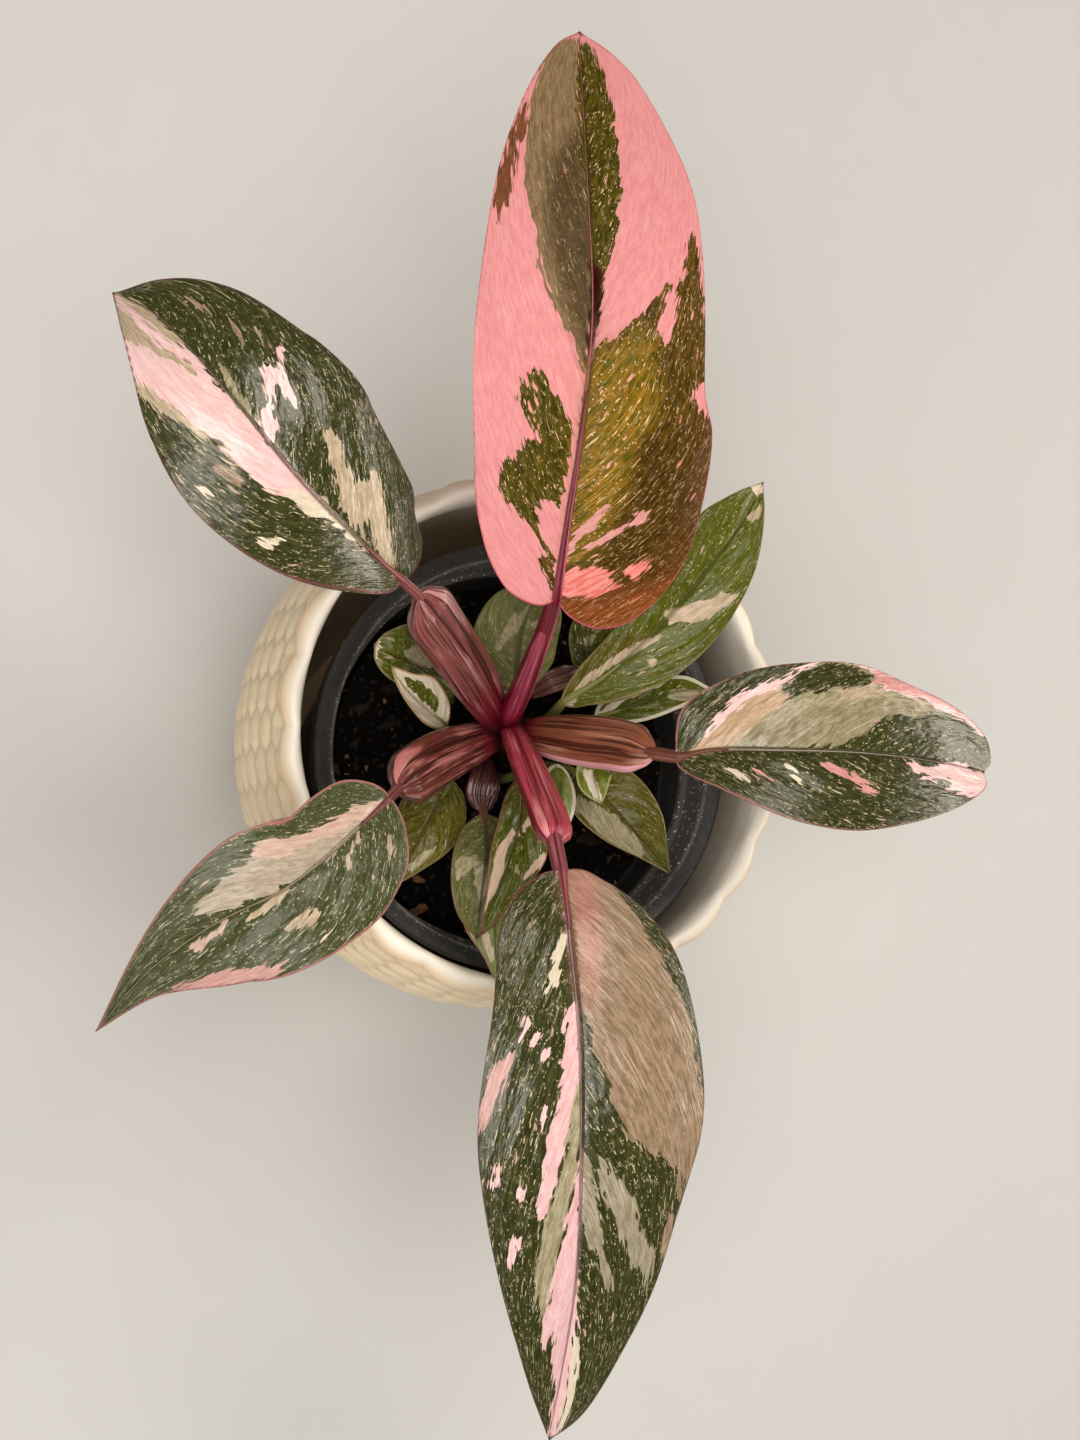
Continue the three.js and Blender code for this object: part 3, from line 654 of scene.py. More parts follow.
# What the leaves have in common, and each leaf: its midrib in space, the outline of its two halves as places
# along the midrib and away from it, and its coloured patches as outlines in the camera's picture.
commonLeaf = {
    "slot": "green_blade", "rows": 50, "across": 14, "roll": 0, "curl": 30, "veins": 6, "wave": 0.35,
    "midribWidth": 0.8, "marginWidth": 0.42, "ragged": 0.5, "dots": 0.35, "squiggles": 0.6,
    "fleckColour": "d9cba6", "flakeColour": "cbaa98", "underColours": ("8f8f6a", "76705a"), "gloss": 0.15,
    "roughness": 0.12, "grain": 0.15,
}
largeLeaf = {"slot": "variegated_blade", "rows": 150, "across": 32, "veins": 9, "ragged": 1, "grain": 0.2}
largeLeaves = {
    "newest": {
        "midrib": [(-16, 28, 178), (-16, 46, 186), (-15, 69, 194), (-13, 97, 196), (-12, 132, 190),
            (-8, 178, 174)],
        "left": [(-1.5, 4), (0, 10), (4, 15.5), (14, 21.5), (30, 26), (64, 30), (97, 26), (127, 17.5),
            (148, 8)],
        "right": [(-4, 4), (-6.5, 12), (-3, 22), (10, 33), (28, 37), (46, 36), (60, 31), (90, 31), (119, 27),
            (144, 14)],
        "slot": "pink_blade", "fold": 14, "veins": 12, "wave": 0.5, "seed": 1, "ground": "pink",
        "midribWidth": 2.2, "midribColours": ("c43c52", "cf7f78", "f6a4a8"), "ribShade": "5c0a16",
        "margin": "c8586c", "fleckColour": "efc99c", "flakeColour": "e8a090",
        "underColours": ("c98084", "a85a5c"), "gloss": 0.06, "roughness": 0.26, "grain": 0.16,
        "patches": [
            ("taupe", [(577, 40), (566, 38), (556, 42), (547, 55), (540, 70), (533, 90), (528, 112),
              (526, 150), (527, 190), (531, 212), (537, 235), (541, 262), (546, 282), (552, 300), (557, 315),
              (563, 326), (571, 330), (577, 350), (583, 374), (589, 340), (595, 300), (597, 275), (594, 240),
              (588, 195), (583, 150), (580, 110), (580, 80), (580, 44)]),
            ("bistre", [(548, 165), (566, 135), (582, 120), (591, 180), (598, 260), (592, 335), (584, 360),
              (573, 325), (564, 300), (550, 250), (545, 205)]),
            ("rust", [(526, 105), (528, 122), (525, 138), (519, 142), (513, 170), (508, 205), (500, 207),
              (498, 222), (495, 205), (498, 175), (506, 150), (514, 125), (520, 108)]),
            ("moss", [(581, 42), (590, 47), (598, 62), (605, 82), (611, 105), (616, 135), (619, 165),
              (619, 195), (616, 225), (611, 255), (604, 280), (598, 310), (593, 345), (589, 372), (589, 340),
              (592, 300), (593, 270), (589, 225), (584, 180), (580, 140), (577, 100), (576, 65)]),
            ("maroon", [(592, 262), (603, 270), (602, 288), (597, 312), (592, 345), (588, 372), (587, 345),
              (591, 300)]),
            ("moss", [(519, 388), (523, 388), (521, 375), (526, 383), (532, 402), (539, 418), (534, 395),
              (529, 378), (530, 369), (538, 369), (544, 378), (548, 384), (552, 394), (560, 402), (566, 412),
              (571, 418), (572, 440), (568, 458), (565, 478), (561, 505), (557, 505), (550, 499), (538, 499),
              (537, 508), (538, 518), (531, 528), (522, 518), (508, 502), (499, 486), (501, 468), (506, 460),
              (515, 456), (522, 450), (524, 437), (533, 439), (541, 443), (533, 425), (523, 408),
              (519, 398)]),
            ("moss", [(530, 524), (538, 530), (546, 544), (553, 562), (548, 560), (540, 545)]),
            ("olive", [(537, 558), (546, 556), (551, 562), (556, 578), (557, 592), (552, 590), (545, 576),
              (540, 566)]),
            ("olive", [(590, 362), (598, 350), (607, 341), (617, 338), (624, 330), (636, 323), (643, 310),
              (652, 300), (660, 295), (668, 284), (670, 287), (664, 305), (658, 322), (656, 340), (668, 347),
              (675, 340), (676, 325), (673, 312), (680, 300), (677, 293), (684, 278), (686, 260), (689, 240),
              (692, 232), (697, 245), (701, 270), (706, 300), (708, 380), (718, 420), (722, 470), (718, 520),
              (706, 565), (686, 598), (655, 622), (625, 640), (598, 640), (574, 630), (556, 604), (562, 585),
              (566, 560), (571, 520), (576, 470), (581, 420), (586, 385)]),
            ("gold", [(592, 366), (605, 350), (622, 340), (638, 330), (652, 345), (658, 380), (655, 420),
              (645, 440), (636, 465), (622, 500), (600, 540), (575, 565), (568, 540), (576, 480), (582, 430),
              (586, 395)]),
            ("umber", [(640, 445), (670, 420), (700, 430), (700, 480), (690, 530), (660, 560), (625, 580),
              (600, 580), (615, 545), (632, 500)]),
            ("brown", [(706, 390), (718, 420), (722, 500), (708, 560), (684, 598), (650, 615), (600, 612),
              (560, 606), (566, 592), (604, 588), (640, 572), (668, 550), (692, 500), (700, 440)]),
            ("orange", [(556, 600), (580, 598), (610, 597), (640, 590), (665, 580), (690, 575), (655, 622),
              (620, 645), (590, 640), (562, 622)]),
            ("coral", [(562, 594), (566, 576), (572, 567), (582, 569), (592, 566), (600, 568), (612, 572),
              (603, 576), (610, 581), (620, 583), (604, 590), (588, 596), (572, 598)]),
            ("coral", [(626, 567), (634, 562), (644, 560), (651, 558), (647, 567), (640, 572), (637, 579),
              (630, 576), (627, 574)]),
            ("rose", [(567, 562), (570, 545), (577, 533), (588, 523), (598, 512), (608, 504), (604, 516),
              (594, 526), (583, 534), (574, 547)]),
            ("rose", [(579, 553), (592, 543), (610, 534), (630, 524), (641, 515), (654, 507), (648, 517),
              (634, 526), (622, 533), (606, 541), (592, 549)]),
            ("pink", [(692, 392), (699, 382), (704, 384), (712, 415), (706, 418), (698, 408)]),
        ],
    },
    "left": {
        "midrib": [(-55, 31, 176), (-65, 36, 184), (-85, 50, 194), (-101, 68, 194), (-116, 87, 186),
            (-126, 95, 176)],
        "left": [(4, 5), (12, 10), (24, 17), (36, 22), (50, 25), (65, 22.5), (81, 15.5), (95, 8.5)],
        "right": [(-1.5, 2), (-2, 7), (2, 13), (12, 19), (32, 26.5), (50, 28.5), (66, 26), (84, 20),
            (97, 8)],
        "roll": -6, "fold": 12, "seed": 2, "ground": "green", "midribWidth": 1.5,
        "midribColours": ("b0706c", "9a6a60", "e8c4bc"), "ribShade": "7a4844", "margin": "7a4348",
        "gloss": 0.55,
        "patches": [
            ("tan", [(112, 290), (124, 297), (136, 303), (150, 312), (165, 323), (180, 341), (190, 355),
              (200, 364), (212, 378), (226, 395), (240, 408), (260, 432), (280, 455), (300, 477), (322, 500),
              (345, 524), (365, 548), (360, 545), (338, 527), (310, 513), (290, 500), (270, 492), (252, 478),
              (238, 466), (230, 462), (222, 457), (226, 452), (217, 440), (200, 434), (184, 424), (168, 418),
              (160, 410), (150, 402), (140, 395), (132, 390), (120, 368), (112, 345), (108, 300)]),
            ("palePink", [(116, 335), (135, 346), (148, 350), (160, 357), (172, 362), (186, 372), (200, 378),
              (187, 362), (172, 352), (158, 345), (146, 336), (132, 318), (112, 296), (125, 304), (140, 317),
              (155, 332), (168, 340), (184, 348), (200, 362), (214, 380), (230, 400), (246, 417), (262, 436),
              (282, 458), (302, 480), (322, 502), (330, 512), (310, 504), (296, 497), (282, 496), (262, 486),
              (246, 470), (236, 462), (232, 456), (222, 443), (205, 432), (188, 420), (172, 406), (158, 398),
              (146, 388), (138, 378), (130, 362)]),
            ("cream", [(285, 494), (300, 490), (322, 504), (345, 525), (368, 550), (360, 543), (338, 527),
              (312, 514), (296, 504)]),
            ("sage", [(218, 363), (224, 364), (232, 378), (238, 392), (246, 402), (254, 412), (261, 424),
              (254, 420), (244, 408), (232, 392), (222, 376)]),
            ("palePink", [(268, 441), (262, 428), (261, 414), (266, 400), (267, 386), (263, 372), (263, 362),
              (268, 370), (274, 370), (278, 362), (278, 350), (281, 348), (283, 358), (286, 372), (289, 388),
              (295, 402), (292, 411), (286, 400), (280, 386), (276, 386), (275, 400), (272, 415), (274, 432),
              (274, 441)]),
            ("tan", [(326, 430), (331, 434), (338, 440), (342, 456), (346, 466), (352, 470), (357, 490),
              (363, 480), (368, 482), (372, 472), (378, 470), (382, 482), (384, 505), (388, 520), (391, 545),
              (396, 578), (388, 566), (375, 548), (362, 535), (350, 520), (341, 505), (337, 490), (333, 472),
              (328, 448)]),
            ("green", [(362, 524), (366, 521), (369, 532), (376, 545), (370, 542), (364, 533)]),
            ("rosyTan", [(211, 466), (222, 468), (232, 474), (243, 482), (246, 485), (236, 485), (224, 478),
              (214, 472)]),
            ("cream", [(200, 486), (210, 492), (216, 497), (208, 497), (200, 490)]),
            ("cream", [(259, 540), (270, 540), (278, 537), (286, 541), (276, 544), (268, 549), (262, 546)]),
            ("rosyTan", [(186, 295), (192, 300), (202, 307), (209, 306), (212, 318), (205, 309), (196, 306),
              (188, 301)]),
            ("rosyTan", [(229, 320), (236, 322), (240, 335), (245, 346), (239, 340), (234, 330)]),
            ("rosyTan", [(253, 330), (260, 332), (264, 342), (270, 347), (263, 345), (257, 336)]),
        ],
    },
    "right": {
        "midrib": [(24, -9, 160), (32, -7, 166), (50, -7, 172), (72, -7, 172), (97, -8, 166),
            (118, -10, 158)],
        "left": [(1, 3.5), (3, 8), (8, 15), (20, 21.5), (36, 24), (55, 25), (72, 20), (90, 15.5),
            (100, 10.5), (102.5, 3.5)],
        "right": [(0.5, 3), (6, 8), (18, 14), (32, 20), (46, 22), (62, 19.5), (78, 15), (92, 9), (99, 4.5)],
        "roll": 12, "fold": 14, "seed": 3, "ground": "green", "midribWidth": 1.3,
        "midribColours": ("9a5048", "d9c8b0", "efe0cc"), "margin": "a8706c", "gloss": 0.4,
        "patches": [
            ("drab", [(684, 755), (698, 742), (706, 730), (716, 722), (728, 708), (742, 695), (760, 686),
              (778, 680), (800, 672), (815, 662), (835, 655), (862, 656), (888, 668), (912, 680), (942, 694),
              (970, 710), (980, 722), (962, 718), (945, 712), (930, 712), (915, 716), (895, 715), (880, 720),
              (868, 726), (862, 735), (850, 740), (830, 745), (800, 746), (770, 747), (740, 747), (715, 751),
              (695, 754)]),
            ("peach", [(684, 755), (700, 742), (708, 730), (718, 722), (730, 708), (745, 696), (764, 688),
              (785, 684), (782, 694), (800, 694), (790, 700), (778, 708), (765, 716), (752, 726), (742, 736),
              (730, 744), (712, 750), (695, 754)]),
            ("palePink", [(702, 737), (708, 727), (716, 719), (728, 704), (742, 693), (760, 685), (775, 680),
              (795, 673), (812, 664), (822, 662), (815, 667), (805, 672), (798, 680), (784, 684), (766, 690),
              (748, 700), (736, 708), (726, 718), (716, 727), (708, 736)]),
            ("sage", [(786, 706), (790, 699), (800, 695), (815, 692), (835, 688), (850, 684), (868, 684),
              (890, 690), (912, 698), (900, 703), (880, 702), (850, 702), (825, 703), (800, 706)]),
            ("palePink", [(826, 655), (846, 651), (866, 655), (886, 663), (906, 672), (930, 685), (954, 698),
              (974, 711), (990, 728), (986, 738), (972, 726), (956, 715), (940, 707), (925, 700), (908, 695),
              (890, 690), (872, 684), (880, 680), (873, 674), (866, 668), (850, 662), (834, 660)]),
            ("rose", [(868, 672), (888, 676), (910, 684), (934, 694), (958, 706), (976, 718), (962, 713),
              (940, 703), (916, 695), (892, 688), (874, 682)]),
            ("tan", [(838, 690), (860, 687), (882, 690), (880, 697), (860, 696), (842, 697)]),
            ("green", [(783, 693), (784, 686), (790, 681), (800, 676), (806, 670), (815, 667), (825, 664),
              (840, 664), (855, 666), (866, 671), (874, 677), (868, 682), (858, 686), (845, 688), (838, 687),
              (828, 690), (820, 694), (812, 690), (800, 694), (790, 695)]),
            ("rose", [(818, 757), (832, 765), (846, 771), (858, 777), (869, 784), (880, 794), (866, 790),
              (852, 782), (838, 775), (826, 767)],
             [(752, 768), (762, 772), (771, 780), (760, 776)]),
            ("cream", [(786, 765), (797, 773), (802, 782), (793, 777)],
             [(724, 769), (736, 770), (748, 780), (738, 777)]),
            ("palePink", [(930, 768), (948, 762), (965, 766), (980, 774), (997, 780), (994, 790), (978, 797),
              (960, 793), (946, 788), (955, 782), (940, 779), (922, 778)],
             [(902, 758), (920, 766), (934, 775), (918, 772)]),
        ],
    },
    "lower_left": {
        "midrib": [(-53, -21, 158), (-65, -31, 164), (-80, -43, 168), (-97, -52, 164), (-111, -63, 156),
            (-122, -78, 144)],
        "left": [(0, 2.5), (3, 8.5), (10, 15.5), (22, 19.5), (34, 19.5), (48, 18.5), (62, 14), (80, 5.5)],
        "right": [(0, 2.5), (3, 7), (10, 12), (19, 13.5), (28, 13.5), (35, 16.5), (46, 17), (60, 12),
            (78, 5)],
        "fold": 14, "veins": 8, "seed": 4, "ground": "softGreen", "midribWidth": 1.1,
        "midribColours": ("d8a098", "cbbc9c", "efe2c8"), "margin": "a8706a", "marginWidth": 0.6,
        "fleckColour": "cbc5a8", "dots": 0.5, "squiggles": 0.7, "gloss": 0.25, "grain": 0.18,
        "patches": [
            ("sand", [(390, 798), (378, 803), (366, 806), (352, 810), (340, 817), (328, 822), (313, 828),
              (303, 834), (288, 838), (270, 838), (258, 841), (250, 850), (256, 859), (243, 866), (230, 872),
              (221, 878), (218, 888), (208, 898), (198, 904), (196, 910), (208, 914), (225, 908), (243, 902),
              (262, 896), (282, 887), (298, 878), (312, 868), (326, 860), (340, 848), (350, 838), (362, 824),
              (376, 810)]),
            ("shell", [(390, 798), (378, 803), (366, 806), (352, 810), (340, 817), (328, 822), (313, 828),
              (303, 834), (288, 838), (270, 838), (260, 841), (252, 852), (262, 858), (280, 856), (296, 850),
              (308, 846), (322, 838), (338, 830), (352, 824), (366, 815), (380, 806)]),
            ("tan", [(288, 886), (276, 894), (262, 903), (254, 914), (250, 920), (256, 920), (268, 910),
              (280, 900), (292, 890)]),
            ("shell", [(226, 920), (218, 927), (206, 936), (197, 942), (190, 948), (196, 950), (202, 947),
              (212, 940), (220, 931)]),
            ("tan", [(316, 908), (319, 912), (318, 918), (306, 928), (300, 935), (303, 925), (290, 930),
              (286, 930), (298, 918), (308, 912)]),
            ("tan", [(357, 832), (358, 840), (353, 855), (349, 868), (345, 868), (348, 855), (352, 842)]),
            ("tan", [(386, 835), (390, 837), (394, 852), (392, 858), (388, 848)]),
            ("dustPink", [(175, 990), (192, 981), (212, 975), (232, 970), (250, 970), (268, 965), (285, 963),
              (277, 972), (260, 980), (240, 988), (215, 992), (190, 996)]),
            ("palePink", [(332, 932), (326, 940), (321, 944), (324, 936)]),
        ],
    },
    "front": {
        "midrib": [(-13, -39, 174), (-14, -55, 182), (-13, -80, 186), (-12, -108, 184), (-10, -141, 174),
            (-10, -180, 156)],
        "left": [(-0.5, 4.5), (2, 10), (10, 21), (28, 30), (50, 34), (72, 33), (94, 25), (118, 17),
            (140, 8)],
        "right": [(0.5, 3), (4, 8.5), (14, 17), (34, 21.5), (60, 26), (80, 24.5), (104, 19), (128, 10)],
        "fold": 12, "curl": 32, "veins": 12, "seed": 5, "ground": "green", "midribWidth": 1.0,
        "midribColours": ("f0b8ba", "e4b4ae", "fad2d0"), "ribShade": "cc8e94", "margin": "6d3a3e",
        "squiggles": 0.7, "gloss": 0.38,
        "patches": [
            ("rosyTan", [(564, 868), (580, 866), (597, 872), (612, 882), (620, 897), (632, 912), (641, 925),
              (650, 940), (660, 955), (665, 970), (672, 983), (680, 998), (687, 1015), (690, 1030),
              (694, 1050), (697, 1075), (702, 1095), (710, 1120), (708, 1145), (705, 1165), (696, 1186),
              (688, 1180), (685, 1172), (681, 1200), (678, 1195), (677, 1165), (668, 1160), (658, 1153),
              (650, 1157), (645, 1148), (638, 1140), (628, 1138), (624, 1128), (622, 1112), (615, 1102),
              (610, 1085), (602, 1068), (597, 1055), (592, 1040), (587, 1020), (582, 1000), (579, 975),
              (576, 945), (572, 910), (568, 885)]),
            ("dawn", [(562, 866), (580, 866), (596, 876), (598, 900), (600, 930), (600, 960), (596, 985),
              (588, 1000), (580, 980), (575, 945), (570, 905)]),
            ("ash", [(583, 1150), (588, 1165), (594, 1180), (597, 1200), (599, 1218), (604, 1235),
              (601, 1245), (605, 1262), (611, 1275), (612, 1290), (607, 1284), (601, 1275), (597, 1258),
              (594, 1245), (590, 1250), (586, 1235), (582, 1215), (580, 1185), (580, 1160)]),
            ("ash", [(598, 1158), (606, 1163), (612, 1172), (618, 1180), (622, 1176), (626, 1190),
              (633, 1200), (636, 1215), (641, 1228), (648, 1240), (652, 1252), (651, 1268), (649, 1280),
              (645, 1292), (642, 1278), (640, 1268), (633, 1268), (630, 1258), (625, 1240), (618, 1228),
              (616, 1215), (608, 1205), (602, 1190), (600, 1175)]),
            ("rosyTan", [(668, 1212), (674, 1216), (672, 1230), (668, 1245), (663, 1258), (662, 1235)]),
            ("blush", [(573, 998), (569, 1008), (567, 1022), (564, 1032), (568, 1038), (566, 1055),
              (563, 1075), (560, 1098), (556, 1115), (551, 1130), (547, 1150), (545, 1165), (541, 1185),
              (538, 1203), (541, 1220), (547, 1216), (551, 1198), (558, 1180), (562, 1160), (566, 1140),
              (571, 1115), (576, 1095), (580, 1075), (580, 1040), (578, 1005)]),
            ("sage", [(579, 1085), (574, 1110), (569, 1135), (565, 1160), (559, 1182), (551, 1203),
              (546, 1218), (541, 1225), (540, 1250), (537, 1275), (536, 1290), (539, 1312), (544, 1318),
              (549, 1298), (553, 1275), (558, 1255), (562, 1235), (566, 1212), (572, 1192), (577, 1165),
              (581, 1135)]),
            ("blush", [(581, 1150), (578, 1185), (572, 1198), (570, 1212), (565, 1232), (558, 1255),
              (553, 1278), (549, 1300), (544, 1320), (541, 1335), (543, 1348), (549, 1332), (552, 1330),
              (554, 1345), (553, 1365), (554, 1390), (552, 1415), (547, 1440), (555, 1442), (560, 1420),
              (566, 1400), (571, 1372), (573, 1345), (577, 1325), (576, 1305), (577, 1270), (579, 1230),
              (582, 1190)]),
            ("cream", [(574, 1325), (578, 1345), (578, 1370), (574, 1390), (570, 1408), (562, 1425),
              (556, 1438), (562, 1418), (567, 1398), (570, 1370)]),
            ("dustPink", [(514, 1053), (510, 1068), (504, 1082), (499, 1096), (493, 1106), (488, 1118),
              (482, 1132), (476, 1140), (478, 1115), (485, 1092), (492, 1076), (500, 1064), (508, 1057)]),
            ("cream", [(564, 932), (565, 945), (562, 958), (559, 972), (556, 988), (550, 990), (547, 993),
              (550, 980), (554, 962), (559, 945)]),
            ("palePink", [(541, 1060), (545, 1052), (550, 1050), (551, 1056), (547, 1060)]),
            ("palePink", [(532, 1038), (536, 1033), (540, 1033), (538, 1040), (533, 1045)]),
            ("palePink", [(519, 1040), (523, 1028), (528, 1015), (529, 1020), (525, 1032)]),
            ("palePink", [(549, 1108), (545, 1120), (540, 1132), (540, 1122), (544, 1112)]),
            ("palePink", [(498, 1161), (499, 1175), (496, 1189), (490, 1188), (492, 1172)]),
            ("palePink", [(516, 1180), (520, 1190), (524, 1184), (525, 1190), (521, 1200), (516, 1195)]),
            ("palePink", [(523, 1238), (518, 1245), (517, 1258), (513, 1264), (510, 1273), (507, 1262),
              (507, 1252), (513, 1240)]),
        ],
    },
}
